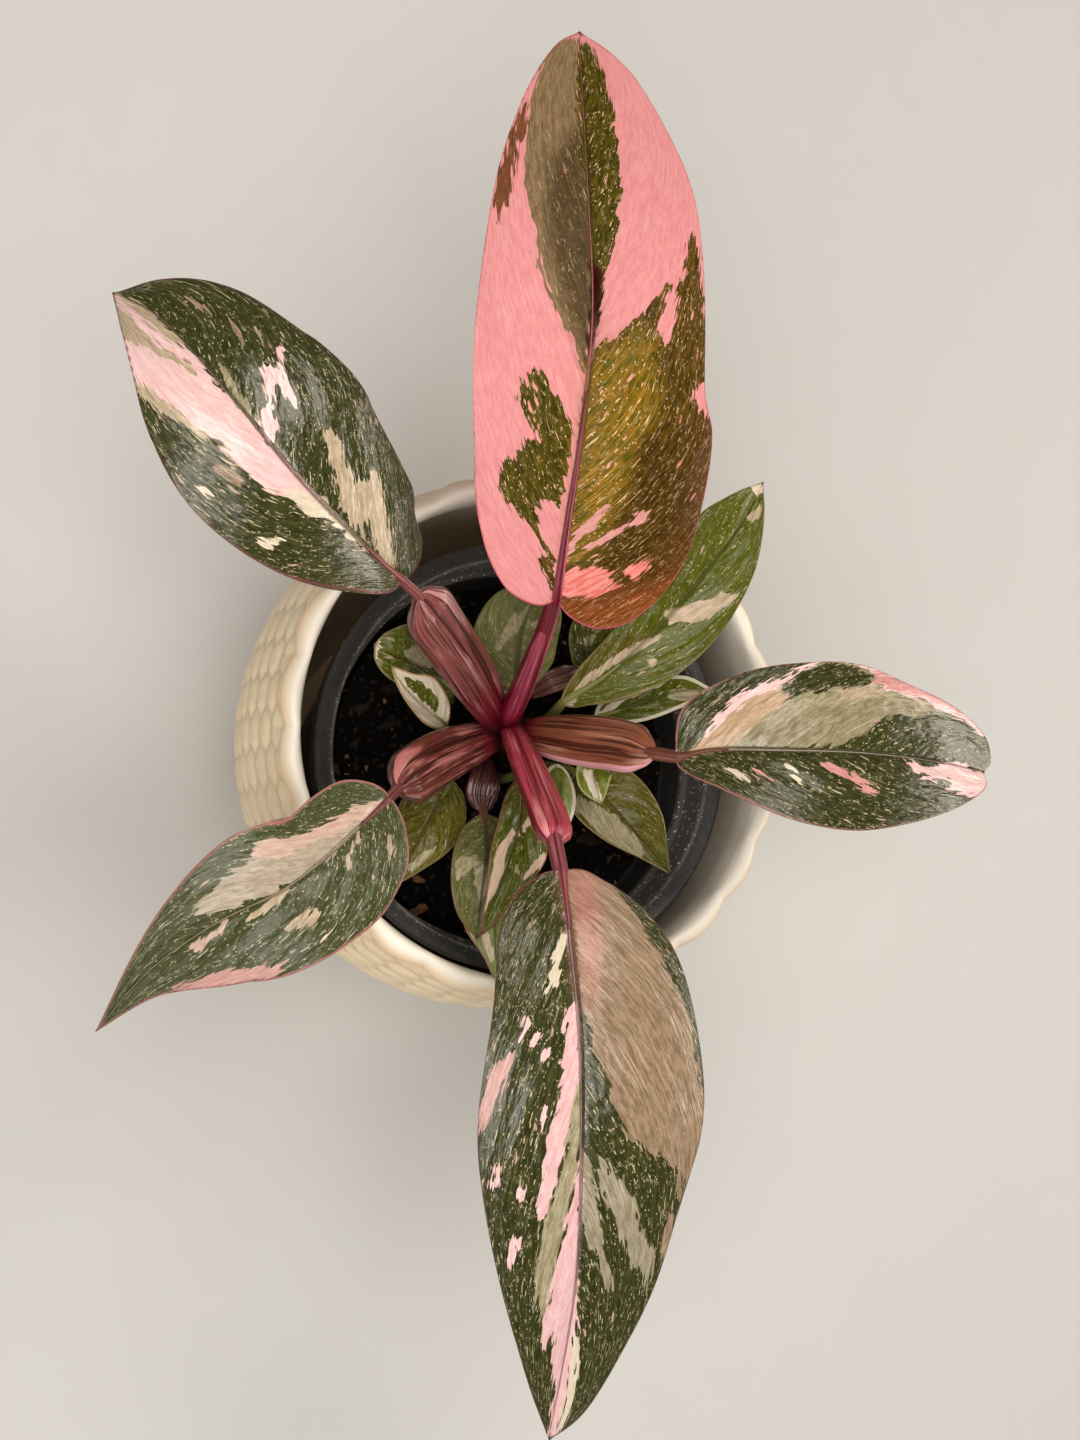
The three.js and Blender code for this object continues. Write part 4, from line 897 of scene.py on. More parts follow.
youngLeaves = {
    "green": {
        "midrib": [(6, 9, 122), (17, 17, 132), (30, 31, 140), (42, 47, 146), (51, 59, 146), (59, 71, 142)],
        "left": [(3, 2.5), (9, 5.5), (16, 7.5), (30, 9), (50, 10.5), (65, 11.5), (78, 6.5)],
        "right": [(2.5, 3), (10, 5.5), (19.5, 9.5), (30, 13), (45, 14), (62, 11), (76, 5.5)],
        "fold": 12, "veins": 9, "rows": 90, "across": 16, "seed": 6, "ground": "leafGreen",
        "midribWidth": 0.9, "midribColours": ("8c8a66", "5f6a34", "b8b088"), "margin": "8a7a52",
        "patches": [
            ("oliveGreen", [(626, 630), (608, 640), (588, 652), (570, 668), (554, 690), (548, 712),
              (562, 714), (578, 690), (586, 676), (612, 658), (630, 646), (648, 636)]),
            ("tan", [(663, 612), (680, 608), (698, 601), (716, 597), (721, 591), (729, 595), (739, 594),
              (732, 604), (719, 611), (710, 618), (694, 624), (684, 621), (668, 625), (670, 618),
              (665, 617)],
             [(664, 633), (652, 638), (636, 642), (628, 649), (614, 656), (600, 667), (588, 673), (580, 684),
              (568, 700), (562, 710), (570, 712), (578, 696), (590, 682), (602, 673), (616, 664), (630, 656),
              (646, 648), (658, 642)],
             [(647, 660), (655, 659), (656, 665), (650, 668)],
             [(744, 518), (752, 514), (762, 504), (760, 516), (752, 522)]),
            ("cream", [(750, 486), (758, 478), (768, 480), (764, 492), (756, 496)]),
        ],
    },
    "white_edged": {
        "midrib": [(19, 6, 114), (28, 9, 119), (39, 13, 122), (52, 15, 121)],
        "left": [(2.5, 3.5), (9, 5), (17, 5.5), (28, 4)],
        "right": [(2.5, 2), (9, 4.5), (18, 5.5), (28, 4)],
        "fold": 14, "across": 12, "seed": 7, "ground": "leafGreen",
        "midribColours": ("b0b08a", "7c8f4a", "d8d8b8"), "margin": "e4dcc4", "marginWidth": 1.0,
        "patches": [
            ("cream", [(588, 722), (608, 704), (628, 690), (645, 686), (664, 680), (660, 686), (640, 694),
              (620, 703), (600, 720)]),
            ("sage", [(668, 692), (682, 688), (698, 690), (700, 697), (686, 700), (672, 700)]),
        ],
    },
    "round": {
        "midrib": [(-5, 11, 114), (-7, 20, 122), (-7, 30, 128), (-2, 41, 128)],
        "left": [(3, 5), (11, 10.5), (20, 14), (28, 10), (33, 4)],
        "right": [(1.5, 4.5), (10, 10), (23, 10.5), (32, 8)],
        "fold": 10, "seed": 8, "ground": "paleOlive", "midribWidth": 0.9,
        "midribColours": ("8c9a70", "6f8058", "b0b890"), "margin": "6a7448",
        "patches": [
            ("sage", [(495, 648), (500, 634), (508, 624), (513, 613), (516, 612), (516, 620), (524, 608),
              (531, 606), (524, 622), (514, 634), (504, 644), (499, 652)]),
            ("cream", [(510, 690), (516, 680), (524, 672), (528, 676), (522, 686), (514, 696)]),
        ],
    },
    "white_tipped": {
        "midrib": [(-22, 13, 110), (-33, 18, 116), (-41, 20, 120), (-47, 23, 120)],
        "left": [(3.5, 4), (12.5, 7.5), (21, 7), (27, 4)],
        "right": [(5, 4), (14, 8), (23, 9.5), (28, 5)],
        "fold": 10, "seed": 9, "ground": "leafGreen", "midribColours": ("8f9460", "6f7c40", "b0b080"),
        "margin": "8a7f58",
        "patches": [
            ("cream", [(370, 658), (374, 642), (380, 636), (381, 641), (378, 644), (384, 647), (378, 650),
              (376, 660)]),
            ("sage", [(402, 652), (414, 646), (430, 648), (440, 658), (430, 668), (414, 664)]),
        ],
    },
    "curled": {
        "midrib": [(-26, 2, 118), (-34, 6, 124), (-41, 11, 128), (-45, 16, 130)],
        "left": [(4, 3), (10, 4.5), (16, 4), (22, 1.5)],
        "right": [(3, 3.5), (9, 6.5), (17, 7.5), (23, 3.5)],
        "fold": 30, "curl": 0, "veins": 5, "rows": 46, "across": 12, "seed": 10, "ground": "cream",
        "midribWidth": 0.7, "midribColours": ("c9b78c", "d8c8a0", "e8dcc0"), "margin": "a8894e",
        "patches": [
            ("leafGreen", [(402, 676), (412, 678), (424, 684), (434, 694), (438, 704), (436, 712),
              (428, 706), (420, 698), (410, 688)]),
        ],
    },
    "olive": {
        "midrib": [(-20, -12, 104), (-28, -22, 112), (-35, -33, 115), (-39, -42, 112)],
        "left": [(3, 6), (12, 9.5), (22, 9), (31, 5)],
        "right": [(4, 6), (14, 9.5), (24, 9), (32, 5)],
        "fold": 10, "seed": 11, "ground": "oliveGreen", "midribColours": ("7c7c50", "6d6c40", "9c9868"),
        "margin": "8a7a50",
        "patches": [
            ("sage", [(404, 868), (412, 862), (424, 852), (436, 846), (434, 854), (424, 862), (412, 872)]),
        ],
    },
    "grey_green": {
        "midrib": [(-13, -22, 112), (-15, -33, 120), (-18, -44, 125), (-19, -56, 124)],
        "left": [(1, 4), (8, 8), (17, 9.5), (26, 8.5), (34, 4.5)],
        "right": [(2, 3), (10, 8.5), (21, 10.5), (32, 6.5)],
        "fold": 14, "seed": 12, "ground": "greyGreen", "midribColours": ("8a8f62", "66704a", "a8a880"),
        "margin": "7c5a44",
        "patches": [
            ("sage", [(454, 862), (462, 856), (470, 858), (476, 854), (475, 864), (466, 872), (459, 880),
              (455, 876)],
             [(474, 872), (480, 868), (488, 864), (489, 890), (480, 902), (476, 892)]),
        ],
    },
    "cream_striped": {
        "midrib": [(-6, -12, 122), (-9, -24, 130), (-14, -38, 133), (-20, -55, 130)],
        "left": [(6, 3), (15, 6.5), (23, 9.5), (33, 6.5), (41, 3.5)],
        "right": [(7, 4), (16, 6.5), (27, 6), (38, 3)],
        "fold": 16, "curl": 20, "veins": 7, "rows": 56, "across": 12, "seed": 13, "ground": "leafGreen",
        "midribColours": ("a8a070", "c8b890", "e0d4b0"), "margin": "8a5444",
        "patches": [
            ("rosyCream", [(494, 860), (495, 852), (500, 844), (506, 836), (512, 828), (515, 833),
              (510, 842), (506, 852), (505, 862), (501, 876), (496, 890), (490, 898), (484, 912), (477, 932),
              (476, 926), (482, 908), (487, 898), (490, 884), (493, 872)],
             [(518, 834), (524, 824), (530, 816), (530, 823), (526, 830), (519, 838)],
             [(546, 852), (538, 858), (530, 868), (521, 880), (525, 880), (534, 872), (546, 862)]),
        ],
    },
    "cream_sliver": {
        "midrib": [(-6, -31, 105), (-9, -43, 110), (-12, -55, 118), (-14, -69, 128)],
        "left": [(6, 4), (15, 7.5), (27, 8.5), (36.5, 4)],
        "right": [(8, 6), (20, 10), (28, 9.5), (35, 5)],
        "fold": 14, "curl": 20, "seed": 14, "ground": "paleGreen",
        "midribColours": ("b8b890", "c8c8a0", "e0dcc0"), "margin": "a8805c",
        "patches": [
            ("cream", [(468, 930), (474, 936), (478, 946), (484, 960), (491, 974), (486, 974), (478, 962),
              (472, 950)],
             [(480, 932), (486, 930), (490, 942), (494, 962), (490, 962), (484, 944)]),
        ],
    },
    "broad": {
        "midrib": [(15, -9, 110), (21, -17, 116), (31, -28, 118), (42, -38, 114)],
        "left": [(3, 5.5), (9, 10.5), (17, 11.5), (27, 9), (36, 4)],
        "right": [(3, 6), (10, 10), (20, 8.5), (31, 4)],
        "fold": 12, "seed": 15, "ground": "oliveGreen", "midribColours": ("8c8c5c", "7a7c48", "a8a478"),
        "margin": "a08a64",
        "patches": [
            ("sage", [(574, 800), (582, 798), (598, 806), (608, 813), (618, 816), (620, 822), (626, 828),
              (636, 838), (642, 848), (642, 856), (630, 854), (616, 846), (600, 834), (586, 820),
              (574, 808)]),
        ],
    },
    "glossy": {
        "midrib": [(17, -7, 118), (15, -12, 124), (17, -19, 124)],
        "left": [(1, 3.5), (7, 5), (12.5, 2.5)],
        "right": [(2, 4), (8, 6.5), (12.5, 3.5)],
        "fold": 24, "curl": 20, "veins": 4, "rows": 36, "across": 10, "seed": 16, "ground": "brightGreen",
        "midribWidth": 0.6, "midribColours": ("c8c090", "e8e0b8", "f4f0d8"), "margin": "b8b078",
        "patches": [
            ("cream", [(582, 770), (592, 770), (596, 782), (602, 796), (601, 802), (596, 798), (588, 786)]),
        ],
    },
    "cream_edged": {
        "midrib": [(5, -8, 120), (5, -15, 124), (4, -22, 126), (5, -29, 124)],
        "left": [(2, 2.5), (9, 4), (15, 4), (20.5, 2)],
        "right": [(3, 3.5), (11, 5), (18, 3.5)],
        "fold": 16, "curl": 20, "veins": 5, "rows": 40, "across": 10, "seed": 17, "ground": "brightGreen",
        "midribWidth": 0.7, "midribColours": ("b0b080", "98a060", "d0d0a0"), "margin": "e8e0c8",
        "marginWidth": 0.9,
        "patches": [
            ("paleGreen", [(566, 772), (572, 780), (574, 800), (570, 830), (562, 840), (564, 810),
              (564, 790)]),
        ],
    },
    "dark_green": {
        "midrib": [(17, 20, 112), (15, 28, 120), (16, 37, 122)],
        "left": [(3, 4), (8, 6), (13, 6.5), (18, 4)],
        "right": [(3, 4.5), (12, 7.5), (18, 5.5)],
        "fold": 14, "curl": 20, "veins": 5, "rows": 40, "across": 10, "seed": 18, "ground": "leafGreen",
        "midribWidth": 0.9, "midribColours": ("5f6a38", "6f7c44", "8c9460"), "margin": "5a6030",
        "patches": [
            ("green", [(560, 618), (590, 618), (586, 660), (574, 668), (560, 660)]),
            ("sage", [(584, 640), (590, 636), (596, 634), (592, 642), (587, 648)]),
        ],
    },
}
leaves = {name: {**commonLeaf, **largeLeaf, **leaf} for name, leaf in largeLeaves.items()}
leaves |= {name: {**commonLeaf, **leaf} for name, leaf in youngLeaves.items()}


# Each stalk: its path in space, and its girth as (share of the path, half width, half depth) or as the half
# widths at its two ends. The rib is how far it goes on under the blade, and the half width there. The sheath
# is the share of the path where it ends, and "thin" the half width of the bare stalk that comes out of it.
# The colours are main, dark and light (the light partly painted highlight), the shade length is how far
# painted shade darkens a stalk's foot where the stalks meet, and a band is a paler side, painted light on the
# newest stalk.
stalks = {
    "newest": {
        "path": [(-10, 3, 121), (-12, 10, 140), (-14, 18, 158), (-15, 24, 169)],
        "girth": [(0, 3.5, 3.3), (0.5, 2.9, 2.8), (0.75, 2.4, 2.3), (1, 2.1, 2)],
        "rib": (52, 0.2), "colours": ("7a0e26", "420512", "b04460"), "crownShade": 22, "thin": 2.1,
        "band": (0.35, "c25870"),
    },
    "left": {
        "path": [(-12, 3, 122), (-27, 14, 142), (-42, 23, 162), (-49, 28, 170)],
        "girth": [(0, 4.5, 3.5), (0.25, 7.4, 5), (0.6, 7.8, 5.2), (0.72, 6.2, 4), (0.78, 2.8, 2.5),
                  (1, 2.5, 2.2)],
        "sheath": 0.775, "rib": (16, 0.3), "colours": ("90504c", "3c1614", "d8a4a8"),
        "bare": ("96504c", "62302c", "d8a09c"), "thin": 1.3, "crownShade": 26, "stripe": 0.53,
    },
    "front": {
        "path": [(-8, 2, 120), (-10, -12, 142), (-11, -26, 160), (-12, -32, 166)],
        "girth": [(0, 3.8, 3.5), (0.25, 5, 4.5), (0.6, 5.3, 4.7), (0.7, 4.6, 3.6), (0.76, 2.3, 2.2),
                  (1, 2.1, 1.9)],
        "sheath": 0.755, "rib": (16, 0.3), "colours": ("bc4656", "66141f", "f2a4a4"),
        "bare": ("9c4c54", "4c1c22", "e0a4a4"), "thin": 2.0, "crownShade": 12, "stripe": 0.5,
    },
    "right": {
        "path": [(-3, 1, 116), (5, -2, 132), (12, -4.2, 144), (18, -7, 154)],
        "girth": [(0, 4.5, 3.5), (0.25, 7, 5), (0.65, 7.2, 5), (0.76, 5.6, 3.8), (0.82, 2.5, 2.2),
                  (1, 2.2, 1.9)],
        "sheath": 0.815, "rib": (14, 0.3), "colours": ("90543c", "40180f", "d09a80"),
        "bare": ("74402f", "542c22", "a8786a"), "thin": 1.7, "crownShade": 12, "stripe": 0.5,
        "band": (0.8, "e0a0aa"),
    },
    "lower_left": {
        "path": [(-11, 0, 114), (-29, -6.8, 130), (-42, -13.2, 144), (-49, -18, 152)],
        "girth": [(0, 4.5, 3.5), (0.25, 7, 5), (0.6, 7.4, 5), (0.72, 5.6, 3.8), (0.78, 2.5, 2.2),
                  (1, 2.3, 2)],
        "sheath": 0.775, "rib": (12, 0.3), "colours": ("74382f", "30120e", "d88c88"),
        "bare": ("7c4040", "5e2c2c", "b98080"), "thin": 1.4, "crownShade": 16, "stripe": 0.62,
    },
    "grey_green": {
        "path": [(-9, -6, 102), (-12, -12, 109), (-13, -17, 109)],
        "girth": [(0, 2, 2), (0.3, 4.6, 3), (0.7, 4.6, 2.8), (0.88, 2.4, 1.6), (1, 1.4, 1.3)],
        "sheath": 0.9, "rib": (8, 0.4), "colours": ("54282a", "34181a", "72504f"),
        "bare": ("6a4a38", "503424", "8c7460"), "thin": 1.4, "crownShade": 4,
    },
    "dark_green": {
        "path": [(3, 13, 104), (7, 16, 110), (12, 18, 110)],
        "girth": [(0, 1.6, 1.6), (0.3, 3.2, 2), (0.7, 3.4, 2), (0.88, 2.2, 1.5), (1, 1.2, 1.1)],
        "sheath": 0.9, "rib": (8, 0.4), "colours": ("6a4438", "4a2c24", "b89c8c"),
        "bare": ("6a5038", "503424", "9c8468"), "thin": 1.2, "crownShade": 2, "stripe": 0.55,
    },
    "green": {"path": [(8, 5, 86), (8, 6, 104), (7, 8, 116)], "girth": (1.8, 1.4), "rib": (20, 0.4)},
    "white_edged": {"path": [(14, 2, 86), (16, 3, 100), (18, 5, 109)], "girth": (1.5, 1.1), "rib": (8, 0.3)},
    "round": {"path": [(-6, 15, 86), (-6, 13, 100), (-5, 11, 109)], "girth": (1.5, 1.2), "rib": (8, 0.3)},
    "white_tipped": {"path": [(-15, 11, 86), (-19, 12, 98), (-21, 12, 105)],
                     "girth": (1.5, 1.1), "rib": (8, 0.3)},
    "curled": {"path": [(-18, 3, 86), (-23, 2, 103), (-25, 2, 113)], "girth": (1.5, 1.1), "rib": (6, 0.3)},
    "olive": {"path": [(-14, -7, 84), (-18, -10, 94), (-20, -11, 99)], "girth": (1.5, 1.2), "rib": (8, 0.3)},
    "cream_striped": {"path": [(-2, -10, 86), (-4, -11, 104), (-5, -11, 116)],
                      "girth": (1.5, 1.2), "rib": (8, 0.3)},
    "cream_sliver": {"path": [(-6, -20, 86), (-6, -26, 96), (-6, -30, 101)],
                     "girth": (1.5, 1.1), "rib": (8, 0.3)},
    "broad": {"path": [(10, -5, 86), (13, -7, 98), (14, -8, 105)], "girth": (1.5, 1.2), "rib": (8, 0.3)},
    "glossy": {"path": [(15, -2, 86), (16, -4, 104), (17, -6, 113)], "girth": (1.4, 1), "rib": (5, 0.3)},
    "cream_edged": {"path": [(3, -9, 86), (4, -9, 104), (5, -9, 115)], "girth": (1.4, 1), "rib": (6, 0.3)},
}
sheath = {
    "ridges": 7,
    "ridgeHeight": 0.4,
    "sides": 72,
    "roundEnd": 1.35,  # how long the rounded end is, in half widths
    "topShare": 0.62,  # the arch above, as a share of the half depth
    "lipHeight": 0.35,
    "lipPlace": 0.93,  # how far out the two lips are, as a share of the half width, and how wide they are
    "lipWidth": 0.05,
    "leastWidth": 0.4,
    "leastDepth": 0.5,
    "hidden": 12.0,  # how much of the bare stalk is inside
}
bareStalk = {
    "sides": 20,
    "swelling": (0.4, 20.0),  # of the stalk towards its sheath, and over what length
    "grooves": (7, 0.035, 0),  # count, depth and shift
    # deep red and near black: painted shade at the foot of the stalks, where they meet
    "crownShadeColours": ("86082c", "180207"),
    # the pale streaks this sets are partly painted highlight
    "stripe": 0.45,  # how much of a stalk its pale stripes cover
}
thinStalk = {
    "colours": ("7f8248", "5f6634", "a8a870"),
    "stripe": 0.4,
    "sides": 14,
    "footSwelling": (0.12, 8.0),
}


def framesOf(path):
    lengths = runLength(path)
    heading = unit(np.gradient(path, lengths, axis=0))
    across = unit(np.cross(heading, (0, 0, 1)))
    return lengths, heading, across, np.cross(across, heading)


def tube(path, widths, depths, sides, shape):
    # closed rings round a path; shape(out, rise, angle) says how far across and over it their points are
    lengths, heading, across, over = framesOf(path)
    angle = np.linspace(0, 2 * pi, sides, endpoint=False)
    out, rise = shape(widths[:, None] * np.cos(angle), depths[:, None] * np.sin(angle), angle)
    # counter-clockwise seen from the far end, so that the faces point outwards
    points = path[:, None] - across[:, None] * out[..., None] + over[:, None] * rise[..., None]
    ends = np.stack([path[0] - heading[0] * 0.2, path[-1] + heading[-1] * 0.2])
    strand = np.stack(np.broadcast_arrays(lengths[:, None], -np.cos(angle), np.sin(angle)), -1).reshape(-1, 3)
    carried = {"strand": np.vstack([strand, (0, 0, 0), (lengths[-1], 0, 0)])}
    return np.concatenate([points.reshape(-1, 3), ends]), loops(len(path), sides), carried


def rippled(*waves):
    # a shape for a tube that is round but for waves round it: (count, depth, shift) of each
    def shape(out, rise, angle):
        ripple = 1
        for count, depth, shift in waves:
            ripple = ripple + depth * np.cos(angle * count + shift)
        return out * ripple, rise * ripple

    return shape


def widthUnder(stalk, lastWidth, share):
    # how wide a stalk is where it goes on under the blade
    return lastWidth + (stalk["rib"][1] - lastWidth) * share ** 0.6


def stalkWithRib(stalk, leaf, lastWidth):
    # the path of the stalk up to the blade, and its path under the blade, where it is half sunk in it
    length = stalk["rib"][0]
    runs = np.linspace(1, length, max(5, int(length / 3)))
    rib, normal = bladeSurface(leaf, runs, np.zeros(len(runs)))
    rib = rib - normal * (widthUnder(stalk, lastWidth, runs / length) * 0.45)[:, None]
    return smoothPath([*stalk["path"], rib[0]], coarsePath), rib


def stalkFinish(name, colours, crownShade=0, stripe=bareStalk["stripe"], band=None):
    finish = Finish(name, Coat_Weight=0.2, Coat_Roughness=0.12, Specular_IOR_Level=0.4)
    run, turn, top = finish.parts(finish.carried("strand", "Vector"))
    main, dark, light = tints(colours)
    strands = finish.noise(finish.vector(turn * 7, run * 0.016, top * 0.6), 1, 3, 0.55)
    fine = finish.noise(finish.vector(turn * 22, run * 0.03, top * 2), 1, 3, 0.6)
    soft = finish.noise(finish.vector(turn * 1.6, run * 0.045, 3), 1, 2)
    colour = finish.mix(finish.step(strands, 0.48, 0.58) * 0.85, main, dark)
    colour = finish.mix(finish.step(fine, 0.54, 0.62) * 0.6, colour, dark)
    # pale streaks, partly the stalk's own pale stripes and partly painted highlight
    threshold = 0.22 + 0.3 * (0.45 - stripe)
    streaks = strands * -0.5 + fine * 0.35 + soft * 0.5
    colour = finish.mix(finish.step(streaks, threshold, threshold + 0.1) * 0.75, colour, light)
    # painted shade: both flanks of a stalk darker
    colour = finish.mix(finish.step(finish.magnitude(turn), 0.8, 1) * 0.5, colour, dark)
    # a paler side: on the newest stalk, painted light on the side the light falls on
    if band:
        place, hue = band
        low = finish.step(turn + (fine - 0.5) * 0.12, place, place + 0.08)
        colour = finish.mix(low * finish.step(run, 6, 16), colour, tint(hue))
    # painted shade: towards its foot, where the stalks meet, a stalk goes deep red and then near black
    if crownShade:
        red, black = tints(bareStalk["crownShadeColours"])
        colour = finish.mix(finish.step(run, crownShade, crownShade * 0.15) * 0.85, colour, red)
        colour = finish.mix(finish.step(run, crownShade * 0.6, 0) * 0.92, colour, black)
    height = strands * 0.6 + fine * 0.1 + finish.noise(finish.place(), 0.6, 1) * 0.3
    return finish.paint(colour, fine * 0.2 + 0.2, height, 0.22)


def bareMesh(stalk, body, rib):
    # the round stalk, which goes on under the blade; where there is a sheath, it starts inside that
    girth = np.array(stalk["girth"])
    shares = np.linspace(0, 1, len(body))
    path = evenPath(np.vstack([body[:-1], rib]), 0.8, 8)
    run = runLength(path)
    bodyEnd = run[-1] - runLength(rib)[-1]
    width, depth = (np.interp(run, shares * bodyEnd, np.interp(shares, girth[:, 0], girth[:, column]))
                    for column in (1, 2))
    start = 0
    if "sheath" in stalk:
        swelling, reach = bareStalk["swelling"]
        width = np.minimum(width, stalk["thin"] + swelling * np.clip((bodyEnd - run) / reach, 0, 1))
        depth = np.minimum(depth, stalk["thin"] * 0.9)
        start = np.interp(stalk["sheath"], shares, runLength(body)) - sheath["hidden"]
    onRib = np.clip((run - bodyEnd) / (run[-1] - bodyEnd), 0, 1)
    narrowed = widthUnder(stalk, stalk["thin"], onRib)
    width = np.where(onRib > 0, narrowed, width)
    depth = np.where(onRib > 0, narrowed * 0.8, depth)
    kept = run >= start
    return tube(path[kept], width[kept], depth[kept], bareStalk["sides"], rippled(bareStalk["grooves"]))


def sheathMesh(stalk, body):
    # a boat of a leaf base: wide, arched and ridged above, with a lip along each side and a rounded end
    girth = np.array(stalk["girth"])
    shares, lengths = np.linspace(0, 1, len(body)), runLength(body)
    end = np.interp(stalk["sheath"], shares, lengths)
    path = evenPath(along(body, lengths, np.linspace(0, end, 80)), 0.6, 2)
    run = runLength(path)
    at = np.interp(run, lengths, shares)
    smooth = smoothPath(girth[girth[:, 0] <= stalk["sheath"]], coarsePath)
    width, depth = (np.interp(at, smooth[:, 0], smooth[:, column]) for column in (1, 2))
    left = np.clip((run[-1] - run) / (width.max() * sheath["roundEnd"]), 0, 1)
    # it keeps most of its width until the rounded end
    held = np.maximum(width, np.maximum.accumulate(width) * 0.86)
    width = np.where(run > run[-1] * 0.5, held, width)
    width = np.maximum(width * np.sqrt(1 - (1 - left) ** 2.4), sheath["leastWidth"])
    depth = np.maximum(depth * np.clip(left * 1.5, 0.18, 1) ** 0.5, sheath["leastDepth"])

    def boat(out, rise, angle):
        across = np.cos(angle)
        arch = np.sign(np.sin(angle)) * np.abs(np.sin(angle)) ** 1.25
        upper = arch > 0
        ridge = np.cos(across * pi * sheath["ridges"]) * sheath["ridgeHeight"]
        ridge = ridge * np.clip(left * 2, 0, 1)[:, None] * (1 - across ** 2)
        ridge = ridge * np.clip(run / 10, 0, 1)[:, None]
        rise = depth[:, None] * arch
        rise = np.where(upper, rise * sheath["topShare"] + ridge * np.abs(arch), rise)
        fromLip = (np.abs(across) - sheath["lipPlace"]) / sheath["lipWidth"]
        lip = sheath["lipHeight"] * np.exp(-fromLip ** 2) * np.clip(run / 12, 0, 1)[:, None]
        return out, rise + np.where(upper, lip, 0)

    return tube(path, width, depth, sheath["sides"], boat)


def makeRedStalk(name, stalk, leaf):
    body, rib = stalkWithRib(stalk, leaf, stalk["thin"])
    points, faces, carried = bareMesh(stalk, body, rib)
    if "sheath" not in stalk:
        finish = stalkFinish(f"{name}Stalk", stalk["colours"], stalk["crownShade"], band=stalk["band"])
        settle(makePiece(f"{name}_stalk", points, faces, finish, carried), "red_stalk", f"{name}_leaf_stalk")
        return
    finish = stalkFinish(f"{name}Stalk", stalk["bare"])
    settle(makePiece(f"{name}_stalk", points, faces, finish, carried), "red_stalk")
    points, faces, carried = sheathMesh(stalk, body)
    finish = stalkFinish(f"{name}Sheath", stalk["colours"], stalk["crownShade"],
                         stalk.get("stripe", bareStalk["stripe"]), stalk.get("band"))
    settle(makePiece(f"{name}_sheath", points, faces, finish, carried), "red_stalk", f"{name}_leaf_stalk")


class Growth(NodeTree):
    # a Geometry Nodes tree with named sizes
    kinds = {int: "NodeSocketInt", float: "NodeSocketFloat", bpy.types.Material: "NodeSocketMaterial"}

    def __init__(self, name, **sizes):
        super().__init__(bpy.data.node_groups.new(name, "GeometryNodeTree"))
        sockets = self.tree.interface
        sockets.new_socket("Geometry", in_out="INPUT", socket_type="NodeSocketGeometry")
        sockets.new_socket("Geometry", in_out="OUTPUT", socket_type="NodeSocketGeometry")
        self.given = {}
        for key, value in sizes.items():
            item = sockets.new_socket(key, in_out="INPUT", socket_type=self.kinds[type(value)])
            self.given[item.identifier] = value
        self.entry = self.tree.nodes.new("NodeGroupInput")

    def size(self, name):
        return Value(self, self.entry.outputs[name])

    def named(self, name):
        return self.node("GeometryNodeInputNamedAttribute", {"data_type": "FLOAT"}, {"Name": name},
                         "Attribute")

    def store(self, domain, shape, name, value):
        return self.node("GeometryNodeStoreNamedAttribute", {"data_type": "FLOAT", "domain": domain},
                         {"Geometry": shape, "Name": name, "Value": value})

    def between(self, low, high, seed):
        # a random value, or three of them where low and high are vectors
        vector = isinstance(low, tuple)
        at = 0 if vector else 2
        return self.node("FunctionNodeRandomValue", {"data_type": "FLOAT_VECTOR" if vector else "FLOAT"},
                         {at: low, at + 1: high, "Seed": seed}, 0 if vector else 1)

    def finish(self, shape):
        # the tree ends in plain geometry with its material
        whole = self.node("GeometryNodeRealizeInstances", None, {"Geometry": shape})
        painted = self.node("GeometryNodeSetMaterial", None,
                            {"Geometry": whole, "Material": self.size("Finish")})
        self.put(self.tree.nodes.new("NodeGroupOutput").inputs["Geometry"], painted)

    def grow(self, piece):
        modifier = piece.modifiers.new(self.tree.name, "NODES")
        modifier.node_group = self.tree
        for identifier, value in self.given.items():
            modifier[identifier] = value
        ready = piece.evaluated_get(bpy.context.evaluated_depsgraph_get())
        mesh = bpy.data.meshes.new_from_object(ready)
        piece.modifiers.remove(modifier)
        piece.data = mesh
        mesh.name = piece.name
        return piece


def makeThinStalks():
    finish = stalkFinish("greenStalk", thinStalk["colours"], stripe=thinStalk["stripe"])
    tree = Growth("thinStalk", Sides=thinStalk["sides"], Finish=finish)
    curve = tree.node("GeometryNodeMeshToCurve", None, {"Mesh": tree.size("Geometry")})
    ring = tree.node("GeometryNodeCurvePrimitiveCircle", {"mode": "RADIUS"},
                     {"Resolution": tree.size("Sides"), "Radius": 1.0})
    tree.finish(tree.node("GeometryNodeCurveToMesh", None, {
        "Curve": curve, "Profile Curve": ring, "Scale": tree.named("girth"), "Fill Caps": True}))
    swelling, reach = thinStalk["footSwelling"]
    for name, stalk in stalks.items():
        if "colours" in stalk:
            continue
        first, last = stalk["girth"]
        body, rib = stalkWithRib(stalk, leaves[name], last)
        path = evenPath(np.vstack([body[:-1], rib]), 1.2, 5)
        run = runLength(path)
        bodyEnd = run[-1] - runLength(rib)[-1]
        girth = np.interp(run, [0, bodyEnd, run[-1]], [first, last, stalk["rib"][1]])
        mesh = bpy.data.meshes.new(name)
        mesh.from_pydata((path * mm).tolist(), [(at, at + 1) for at in range(len(path) - 1)], [])
        carry(mesh, "girth", girth * (1 + swelling * np.exp(-run / reach)) * mm)
        carry(mesh, "strand", np.stack([run, run * 0, run * 0], -1))
        piece = tree.grow(makeObject(f"{name}_stalk", mesh))
        smoothShaded(piece.data)
        settle(piece, "green_stalk", f"{name}_leaf_stalk")


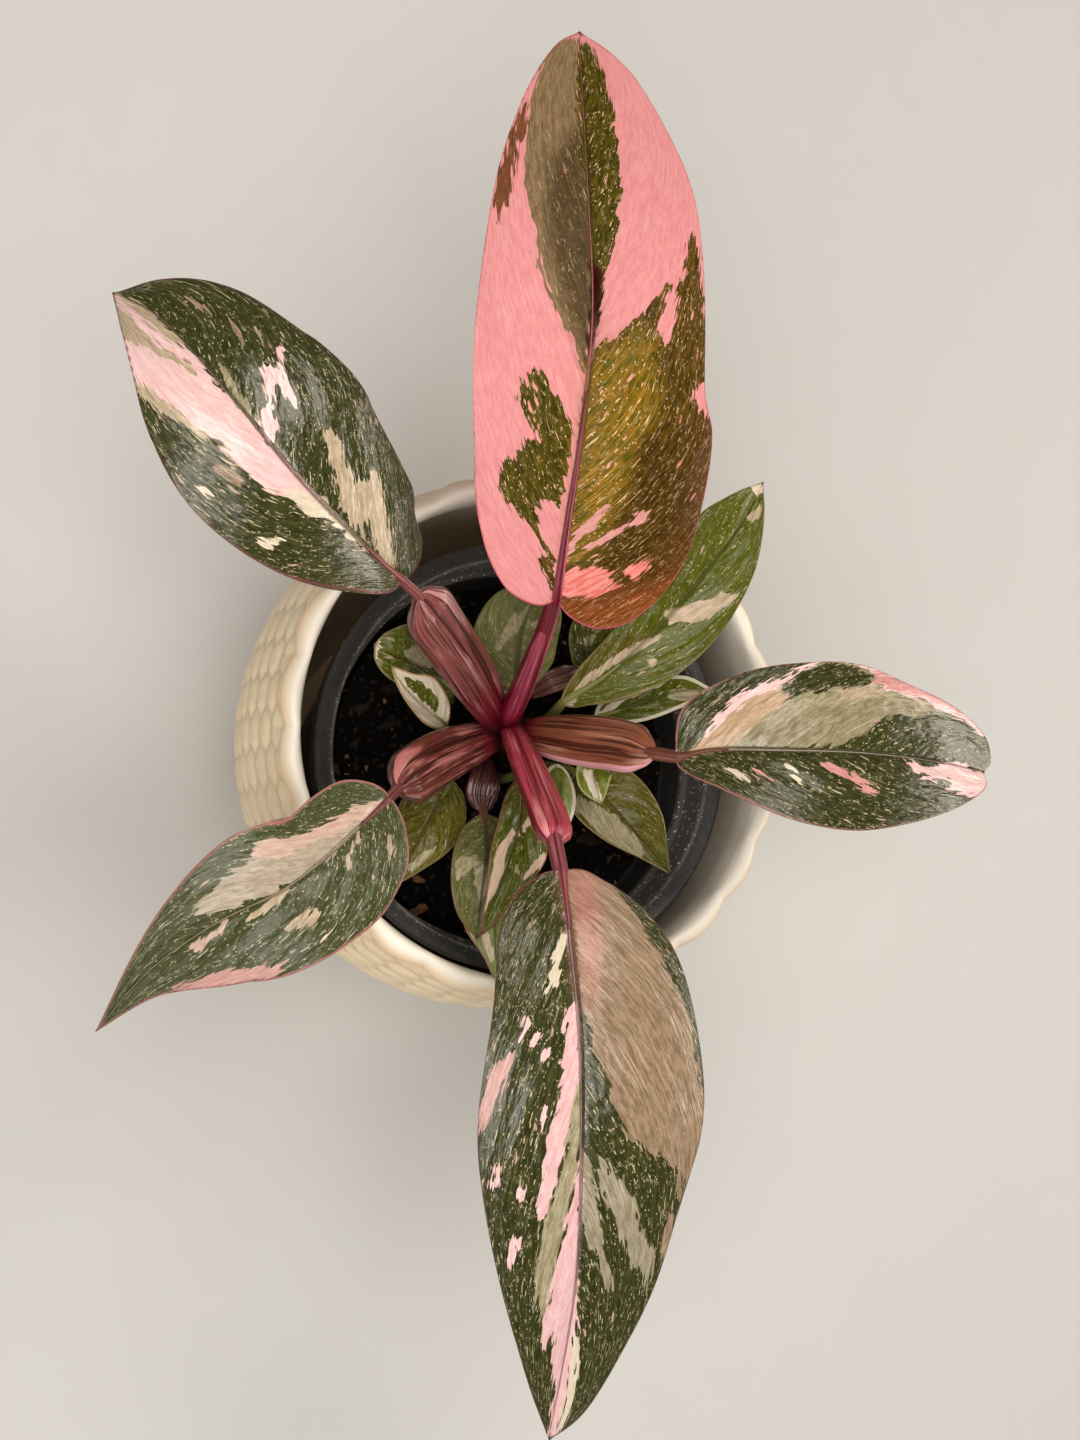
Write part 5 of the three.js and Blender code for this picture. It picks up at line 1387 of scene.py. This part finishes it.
pot = {
    # the outside and the inside of the wall, as radius and height
    "outside": [(50.5, 0.6), (52.5, 3), (57.5, 14), (64, 31), (70, 50), (74.5, 68), (76, 82), (75.8, 92),
                (74.8, 101), (73.6, 109), (72.6, 115), (71.9, 118.2)],
    "lip": [(71.9, 118.2), (72.5, 119), (73, 120.6), (72, 122.8), (69.8, 124), (68.1, 123), (67.2, 120.4)],
    "inside": [(67.2, 120.4), (67.2, 112), (68, 96), (66, 68), (60.5, 46), (55, 27), (50.5, 9.5), (47, 6.8)],
    "underside": [(25.0, 0.0), (49.6, 0.0)],
    "lipStep": 0.7,  # how far apart the rings of the lip and of the inside are
    "insideStep": 9.0,
    "floor": 6.5,
    "lobes": 23,  # scallops round the lip, and raised scales in each row below it
    "lobeHeight": 2.3,
    "lobeTurn": 7.5,
    "lobeRise": 0.25,  # how much a scallop also rises, as a share of how much it stands out
    "lobesFrom": (106.0, 119.0),  # heights where the scallops begin and have their whole size
    "rowHeight": 8.2,
    "topRow": 113.6,  # height of the middle of the uppermost row
    "relief": 1.0,
    "scalesFrom": (3.0, 9.0),  # heights where the scales begin and have their whole size, and where they end
    "scalesTo": (119.2, 117.2),
    "scaleEdge": (0.45, 1.02),  # where a scale's dome ends, as a share of its half width
    "grooveEdge": (0.8, 1.0),
    "middle": 0.7,  # height of the dome and the scallop that stays where the plain wall is
    "sidesPerLobe": 24,
    "ringsPerRow": 8,
    "ringsBelow": 108,  # from the foot to the middle of the uppermost row
    "sharpAngle": 50,
    # the third, toasted tone also paints the shade deep inside the pot
    "glaze": ("f4e0bc", "ecd2a8", "c4a478"),
    # the lip's edge, and the near white of its top, which is a painted highlight
    "lipGlazeAndHighlight": ("f1cfa2", "fff8ea"),
    "specks": "8a7450",
    "bareFoot": "c7b89c",
}
nursery = {
    "centre": (-1.8, -5.3),
    "foot": 6.8,
    "profile": [(0, 0), (41.5, 0), (42.8, 1.2), (53.4, 92), (53.8, 93.2), (58.2, 93.9), (58.7, 94.8),
                (59.3, 106.5), (59.8, 106.9), (60.1, 107.5), (59.9, 108.4), (59.2, 108.9), (56.4, 108.3),
                (55.2, 107.4), (54.7, 106.4), (54.3, 97.4), (53.9, 96.7), (52.9, 96.2), (52.6, 95.6),
                (51.9, 84.4), (51.6, 83.6), (50.9, 83.1), (50.6, 82.4), (40.9, 3.2), (39.5, 2.2), (0, 2.2)],
    "sides": 180,
    "ringSpacing": 14.0,  # at most, on the long stretches
    "holes": 8,
    "holeRadius": 4.5,
    "holeRing": 29.0,
    "holeSides": 24,
    "cutterHeight": 12.0,
    "sharpAngle": 38,
    "plastic": ("20201f", "5c5a56"),
    "rimBand": ((93.5, 95.0), (108.6, 107.0)),  # heights between which the rim is paler
    # the pale lines are painted highlights along the rim's edges
    "edgeHighlights": (55.5, 59.6),  # radius of each pale line on the rim
    "edgeHighlight": "8f8d88",
    "dust": "d4d2cc",
}
mix = {
    "top": 93.0,
    "wall": [(38.8, 9.4), (40, 10.6), (49.8, 88.8), (49.9, 89.6), (49.9, 91.6)],
    "sides": 150,
    "rings": 56,
    "ripple": 1.6,
    "waves": (20, 23),
    "lumps": 1.1,
    "colours": ("040302", "0e0906"),
    "fibres": "3a2618",
    "bark": ("0c0805", "2c1a10", "7a5434"),
    # each kind of bit: the least distance between two in metres, the most to a square metre, sizes and seed
    "bits": {
        "bark_chips": {"apart": 0.0085, "crowd": 60000.0, "least": 0.4, "most": 1.2, "seed": 3},
        "bark_crumbs": {"apart": 0.0022, "crowd": 250000.0, "least": 0.12, "most": 0.4, "seed": 8},
    },
    "steepest": 0.3,  # cosine of the steepest slope that bits lie on
    "bitRadius": 2.2,
    "bitShape": (1.5, 0.9, 0.42),
    "bitLumps": 4.0,
    "bitTilt": 0.5,  # in radians, either way
}
stem = {
    "path": [(-1, 5, 88), (-3, 4, 94), (-6, 3, 106), (-8, 1.5, 114)],
    "girth": (8.6, 8.0, 5.2),  # half widths at its foot, in the middle and at its top
    "rings": (0.33, 0.5),  # old leaf scars: how far apart as a share of the stem, and how high
    "knobs": ((9, 0.03, 0), (4, 0.03, 2)),
    # near black, which is painted shade: the stem shows only in the gaps between the stalks, where shade
    # falls
    "colours": ("2c0c0c", "140506", "4a2420"),
}
ligule = {
    "from": 0.05,  # shares of the stalk that it lies along
    "to": 0.96,
    "aside": 1.0,
    "over": 1.2,
    "girth": [(0, 2.2), (0.3, 2.2), (0.8, 1.7), (0.92, 1.1), (0.96, 0.4)],
    "sides": 18,
    "colours": ("a8405c", "7c2038", "e0a0ac"),
    "crownShade": 14,
    "stripe": 0.5,
}


def turned(rings, steps, bottom, top, start=0.0):
    # closed rings about the vertical axis, from the low pole out, up and round to the high one
    angle = start + np.linspace(0, 2 * pi, steps, endpoint=False)
    rings = np.asarray(rings, float)
    points = np.stack([rings[:, :1] * np.cos(angle), rings[:, :1] * np.sin(angle),
                       np.repeat(rings[:, 1:2], steps, 1)], -1)
    return np.concatenate([points.reshape(-1, 3), [(0, 0, bottom), (0, 0, top)]]), loops(len(rings), steps)


def sharpen(piece, angle):
    smoothShaded(piece.data)
    piece.data.set_sharp_from_angle(angle=radians(angle))


def evenProfile(points, step):
    return evenPath(smoothPath(points, 40 * len(points)), step)


def glazeFinish():
    # cream where the glaze is thick, toasted in the grooves and on the lip's edge, and bare at the foot; the
    # lip's top and the inside near the rim are near white, a painted highlight, and the inside darkens deeper
    # down, which is painted shade
    finish = Finish("creamGlaze", Coat_Weight=0.25, Coat_Roughness=0.28, Specular_IOR_Level=0.45)
    place = finish.place()
    height = finish.parts(place)[2]
    outside = finish.carried("outside")
    light, warm, toastedAndShade = tints(pot["glaze"])
    lipEdge, lipHighlight = tints(pot["lipGlazeAndHighlight"])
    cloud = finish.noise(place, 0.06, 3)
    colour = finish.mix(finish.step(cloud, 0.35, 0.65) * 0.6 * outside, light, warm)
    colour = finish.mix(finish.carried("hollow") * 0.5, colour, toastedAndShade)
    colour = finish.mix(finish.step(outside, 1.0, 0.95), colour, lipEdge)
    # painted highlight: the lip's top and the inside near the rim are near white
    colour = finish.mix(finish.step(outside, 0.8, 0.35), colour, lipHighlight)
    # painted shade: the inside darkens towards its floor
    colour = finish.mix((1 - outside) * finish.step(height, 120, 70) * 0.8, colour, toastedAndShade)
    gathered = finish.step(finish.noise(place, 0.2, 1), 0.55, 0.65)
    specks = finish.step(finish.cells(place, 0.3), 0.08, 0.04) * gathered
    colour = finish.mix(specks * 0.35, colour, tint(pot["specks"]))
    bare = finish.step(height, 1.2, 0.5) * outside
    colour = finish.mix(bare, colour, tint(pot["bareFoot"]))
    soft = finish.noise(place, 0.12, 2)
    return finish.paint(colour, bare * 0.4 + soft * 0.1 + 0.34, soft, 0.12)


def splitScales(faces, steps, lastRing, centreRing):
    # each face of the scales is split along the way that the groove across it runs
    split = []
    for face in faces:
        ring, column = divmod(face[0], steps)
        if len(face) == 3 or ring > lastRing:
            split.append(face)
            continue
        a, b, c, d = face
        falling = (column * 2 // pot["sidesPerLobe"] + (ring - centreRing) * 2 // pot["ringsPerRow"]) % 2 == 0
        split += [(a, b, d), (b, c, d)] if falling else [(a, b, c), (a, c, d)]
    return split


def scaleTree(finish):
    # staggered rows of raised scales below the lip, and the scallops of the lip
    tree = Growth("scalePattern", Lobes=float(pot["lobes"]), LobeTurn=radians(pot["lobeTurn"]),
                  LobeHeight=pot["lobeHeight"] * mm, RowHeight=pot["rowHeight"] * mm,
                  TopRow=pot["topRow"] * mm, Relief=pot["relief"] * mm, Finish=finish)
    x, y, z = tree.parts(tree.node("GeometryNodeInputPosition"))
    angle = tree.maths("ARCTAN2", y, x) - tree.size("LobeTurn")
    radius = tree.radius(x, y)
    around = angle * tree.size("Lobes") / (2 * pi)
    up = (z - tree.size("TopRow")) / tree.size("RowHeight")

    def fromScale(shift):
        # 0 in the middle of the nearest scale of every other row and 1 on its edge, which is pointed sideways
        sideways = tree.magnitude(tree.maths("FRACT", around + (shift + 0.5)) - 0.5)
        rise = tree.magnitude(tree.maths("FRACT", up + (shift + 0.5)) - 0.5)
        return tree.maths("MAXIMUM", rise * 2, sideways * 3 + rise)

    def ramp(heights):
        return tree.step(z, *(height * mm for height in heights))

    nearest = tree.maths("MINIMUM", fromScale(0), fromScale(0.5))
    dome = 1 - tree.step(nearest, *pot["scaleEdge"])
    shown = tree.named("outside")
    fade = ramp(pot["scalesFrom"]) * ramp(pot["scalesTo"]) * shown
    wave = tree.magnitude(tree.maths("SINE", angle * tree.size("Lobes") * 0.5))
    scallop = ramp(pot["lobesFrom"]) * shown * (wave - pot["middle"]) * tree.size("LobeHeight")
    offset = (dome - pot["middle"]) * fade * tree.size("Relief") + scallop
    push = tree.vector(x / radius * offset, y / radius * offset, scallop * pot["lobeRise"])
    kept = tree.store("POINT", tree.size("Geometry"), "hollow", tree.step(nearest, *pot["grooveEdge"]) * fade)
    tree.finish(tree.node("GeometryNodeSetPosition", None, {"Geometry": kept, "Offset": push}))
    return tree


def makeOuterPot():
    wall = smoothPath(pot["outside"], finePath)
    ringStep = pot["rowHeight"] / pot["ringsPerRow"]
    heights = np.arange(pot["topRow"] - pot["ringsBelow"] * ringStep, pot["outside"][-1][1], ringStep)
    outside = np.vstack([wall[0], np.stack([np.interp(heights, wall[:, 1], wall[:, 0]), heights], -1)])
    lip = evenProfile(pot["lip"], pot["lipStep"])
    inside = evenProfile(pot["inside"], pot["insideStep"])[1:]
    rings = np.vstack([pot["underside"], outside, lip, inside, [(25, pot["floor"])]])
    steps = pot["lobes"] * pot["sidesPerLobe"]
    points, faces = turned(rings, steps, 0, pot["floor"], radians(pot["lobeTurn"]))
    shell = len(pot["underside"]) + len(outside)
    faces = splitScales(faces, steps, shell, len(pot["underside"]) + 1 + pot["ringsBelow"])
    shown = np.r_[np.ones(shell), np.linspace(1, 0, len(lip)), np.zeros(len(inside) + 1)]
    finish = glazeFinish()
    carried = {"outside": np.r_[np.repeat(shown, steps), 1, 0]}
    piece = makePiece("outer_pot_glazed", points, faces, finish, carried)
    scaleTree(finish).grow(piece)
    sharpen(piece, pot["sharpAngle"])
    settle(piece, "outer_pot", "outer_pot")


def plasticFinish():
    # black, with painted highlights along the rim's edges, and dusty on the rim
    finish = Finish("blackPlastic", Specular_IOR_Level=0.45)
    place = finish.place()
    x, y, z = finish.parts(place)
    height = z - nursery["foot"]
    band = finish.step(height, *nursery["rimBand"][0]) * finish.step(height, *nursery["rimBand"][1])
    fromMiddle = finish.radius(x - nursery["centre"][0], y - nursery["centre"][1])
    mottle = finish.noise(place, 0.3, 3)
    colour = finish.mix(band * 0.7 + mottle * 0.2, *tints(nursery["plastic"]))
    edgeHighlight = 0
    # painted highlights: pale lines along the rim's edges, broken up by noise
    for radius in nursery["edgeHighlights"]:
        edgeHighlight = finish.step(finish.magnitude(fromMiddle - radius), 0.5, 0.1) + edgeHighlight
    highlightBreaks = finish.step(finish.noise(place, 0.25, 2), 0.3, 0.55)
    colour = finish.mix(edgeHighlight * band * highlightBreaks * 0.55, colour, tint(nursery["edgeHighlight"]))
    gathered = finish.step(finish.noise(place, 0.3, 1), 0.32, 0.48)
    specks = finish.step(finish.cells(place, 0.72), 0.24, 0.16) * gathered
    dust = finish.step(finish.noise(place, 1.4, 3, 0.7), 0.62, 0.75) * 0.25 * finish.step(height, 80, 100)
    colour = finish.mix(specks * band * 0.9 + dust, colour, tint(nursery["dust"]))
    fine = finish.noise(place, 2.2, 2)
    return finish.paint(colour, fine * 0.15 + 0.3 + specks * 0.3, fine * 0.5 + specks * 0.8, 0.12)


def makeNurseryPot():
    plastic = plasticFinish()
    profile = np.array(nursery["profile"]) + (0, nursery["foot"])
    rings = [profile[1]]
    for start, end in zip(profile[1:-1], profile[2:-1]):
        count = max(1, int(np.linalg.norm(end - start) / nursery["ringSpacing"]))
        rings += [start + (end - start) * (at / count) for at in range(1, count + 1)]
    points, faces = turned(rings, nursery["sides"], profile[0][1], profile[-1][1])
    points[:, :2] += nursery["centre"]
    piece = makePiece("nursery_pot_moulded", points, faces, plastic)
    tree = Growth("drainHoles", Holes=nursery["holes"], HoleRadius=nursery["holeRadius"] * mm,
                  Ring=nursery["holeRing"] * mm, Finish=plastic)
    circle = tree.node("GeometryNodeMeshCircle", None,
                       {"Vertices": tree.size("Holes"), "Radius": tree.size("Ring")})
    middle = tuple(value * mm for value in (*nursery["centre"], nursery["foot"]))
    there = tree.node("GeometryNodeTransform", None, {"Geometry": circle, "Translation": middle})
    cutter = tree.node("GeometryNodeMeshCylinder", None, {
        "Vertices": nursery["holeSides"], "Radius": tree.size("HoleRadius"),
        "Depth": nursery["cutterHeight"] * mm}, "Mesh")
    cutters = tree.node("GeometryNodeInstanceOnPoints", None, {"Points": there, "Instance": cutter})
    loose = tree.node("GeometryNodeRealizeInstances", None, {"Geometry": cutters})
    tree.finish(tree.node("GeometryNodeMeshBoolean", {"operation": "DIFFERENCE", "solver": "EXACT"},
                          {"Mesh 1": tree.size("Geometry"), "Mesh 2": loose}, "Mesh"))
    tree.grow(piece)
    sharpen(piece, nursery["sharpAngle"])
    settle(piece, "nursery_pot", "nursery_pot")


def soilHeight(x, y):
    first, second = (2 * pi / span for span in mix["waves"])
    ripple = mix["ripple"] * np.sin(x * first + 1) * np.cos((y - x * 0.3) * second)
    small = np.sin(x * 0.9 + 2 * np.sin(y * 0.5)) * np.sin(y * 0.8 + 1.7 * np.sin(x * 0.6 + 1)) * 0.5
    smaller = np.sin(x * 2.3 + 2 * np.sin(y * 1.7)) * np.sin(y * 2.1 + 2 * np.sin(x * 1.4)) * 0.3
    return ripple + (small + smaller) * mix["lumps"]


def earthFinish():
    finish = Finish("pottingMix", Specular_IOR_Level=0.1)
    place = finish.place()
    lump = finish.noise(place, 0.35, 5, 0.65)
    grain = finish.cells(place, 0.9)
    colour = finish.mix(finish.step(lump, 0.45, 0.7), *tints(mix["colours"]))
    fibres = finish.step(finish.noise(place, 1.3, 3), 0.66, 0.74)
    colour = finish.mix(fibres * 0.35, colour, tint(mix["fibres"]))
    return finish.paint(colour, lump * 0.3 + 0.65, lump * 1.2 + grain * 0.5, 0.9)


def barkFinish():
    finish = Finish("barkBits", Specular_IOR_Level=0.3)
    shade = finish.carried("shade")
    first, second, pale = tints(mix["bark"])
    fibre = finish.noise(finish.place(), 1.2, 4, 0.65)
    colour = finish.mix(shade, first, second)
    colour = finish.mix(finish.step(shade, 0.9, 0.97), colour, pale)
    colour = finish.mix(finish.step(fibre, 0.45, 0.65) * 0.6, colour, first)
    return finish.paint(colour, fibre * 0.2 + 0.7, fibre, 0.5)


def barkTree(name, bits, bark):
    # lumpy flat bits strewn over a mesh where it faces up
    tree = Growth(name, Apart=bits["apart"], Least=bits["least"], Most=bits["most"], Seed=bits["seed"],
                  Finish=bark)
    seed = tree.size("Seed")
    facing = tree.parts(tree.node("GeometryNodeInputNormal"))[2]
    onTop = tree.node("FunctionNodeCompare", {"data_type": "FLOAT", "operation": "GREATER_THAN"},
                      {0: facing, 1: mix["steepest"]})
    at = tree.node("GeometryNodeDistributePointsOnFaces", {"distribute_method": "POISSON"}, {
        "Mesh": tree.size("Geometry"), "Selection": onTop, "Distance Min": tree.size("Apart"),
        "Density Max": bits["crowd"], "Seed": seed})
    stone = tree.node("GeometryNodeMeshIcoSphere", None,
                      {"Radius": mix["bitRadius"] * mm, "Subdivisions": 2}, "Mesh")
    where = tree.node("GeometryNodeInputPosition")
    bump = tree.node("ShaderNodeTexNoise", None, {"Vector": where, "Scale": 420.0, "Detail": 1.0}, "Color")
    push = tree.node("ShaderNodeVectorMath", {"operation": "SUBTRACT"}, {0: bump, 1: (0.5, 0.5, 0.5)})
    push = tree.node("ShaderNodeVectorMath", {"operation": "SCALE"}, {0: push, "Scale": mix["bitLumps"] * mm})
    stone = tree.node("GeometryNodeSetPosition", None, {"Geometry": stone, "Offset": push})
    flat = tree.node("GeometryNodeTransform", None, {"Geometry": stone, "Scale": mix["bitShape"]})
    tilt = mix["bitTilt"]
    turn = tree.between((-tilt, -tilt, 0.0), (tilt, tilt, 6.28), seed)
    scale = tree.between(tree.size("Least"), tree.size("Most"), seed + 1)
    placed = tree.node("GeometryNodeInstanceOnPoints", None,
                       {"Points": at, "Instance": flat, "Rotation": turn, "Scale": scale})
    tree.finish(tree.store("INSTANCE", placed, "shade", tree.between(0.0, 1.0, seed + 2)))
    return tree


def makeSoil():
    reach = np.linspace(0.8, mix["wall"][-1][0] - 0.3, mix["rings"])[::-1]
    rings = [*mix["wall"], *[(float(radius), mix["top"]) for radius in reach]]
    points, faces = turned(rings, mix["sides"], mix["wall"][0][1], mix["top"])
    upper = points[:, 2] > mix["top"] - 0.1
    points[upper, 2] += soilHeight(points[upper, 0], points[upper, 1])
    points[:, :2] += nursery["centre"]
    settle(makePiece("soil_heap", points, faces, earthFinish()), "soil", "soil")
    bark = barkFinish()
    for name, bits in mix["bits"].items():
        piece = barkTree(name, bits, bark).grow(makePiece(name, points, faces, bark))
        settle(piece, "soil")
        print(name, len(piece.data.polygons), "faces")


def makeStem():
    path = evenPath(smoothPath(stem["path"], coarsePath), 0.8)
    share = np.linspace(0, 1, len(path))
    apart, high = stem["rings"]
    widths = np.interp(share, [0, 0.5, 1], stem["girth"])
    widths = widths + high * np.exp(-((share % apart - 0.16) / 0.03) ** 2)
    points, faces, carried = tube(path, widths, widths, 40, rippled(*stem["knobs"]))
    finish = stalkFinish("stemBark", stem["colours"], stripe=0.4)
    settle(makePiece("main_stem_bark", points, faces, finish, carried), "stem", "main_stem")


def makeLigule():
    # the pale tip of the sheath that lies along the newest leaf's stalk
    path = smoothPath(stalks["newest"]["path"], coarsePath)
    across, over = framesOf(path)[2:]
    share = np.linspace(0, 1, len(path))
    picked = (share > ligule["from"]) & (share < ligule["to"])
    place = path - across * ligule["aside"] + over * ligule["over"]
    widths = np.interp(share, *zip(*ligule["girth"]))[picked]
    points, faces, carried = tube(place[picked], widths, widths * 0.9, ligule["sides"],
                                  rippled(bareStalk["grooves"]))
    finish = stalkFinish("newestLigule", ligule["colours"], ligule["crownShade"], ligule["stripe"])
    settle(makePiece("newest_ligule", points, faces, finish, carried), "red_stalk")


def makeFloor():
    reach = studio["floorReach"]
    finish = Finish("studioFloor", Specular_IOR_Level=0.2)
    fine = finish.noise(finish.place(), 0.05, 3)
    paper = finish.paint(finish.mix(fine * 0.25, *tints(studio["paper"])), fine * 0.1 + 0.7, fine, 0.3)
    corners = [(-reach, -reach, 0), (reach, -reach, 0), (reach, reach, 0), (-reach, reach, 0)]
    makePiece("floor", corners, [(0, 1, 2, 3)], paper)


makeCamera()
makeStudio()
makeFloor()
print("camera, floor and light ready")
makeOuterPot()
makeNurseryPot()
makeSoil()
print("pots and soil ready")
makeStem()
for name, leaf in leaves.items():
    points, faces, carried = bladeMesh(leaf)
    finish = bladeFinish(f"{name}Blade", leaf)
    settle(makePiece(f"{name}_blade", points, faces, finish, carried), leaf["slot"], f"{name}_leaf_blade")
    if "colours" in stalks[name]:
        makeRedStalk(name, stalks[name], leaf)
makeLigule()
makeThinStalks()
print("leaves and stalks ready")
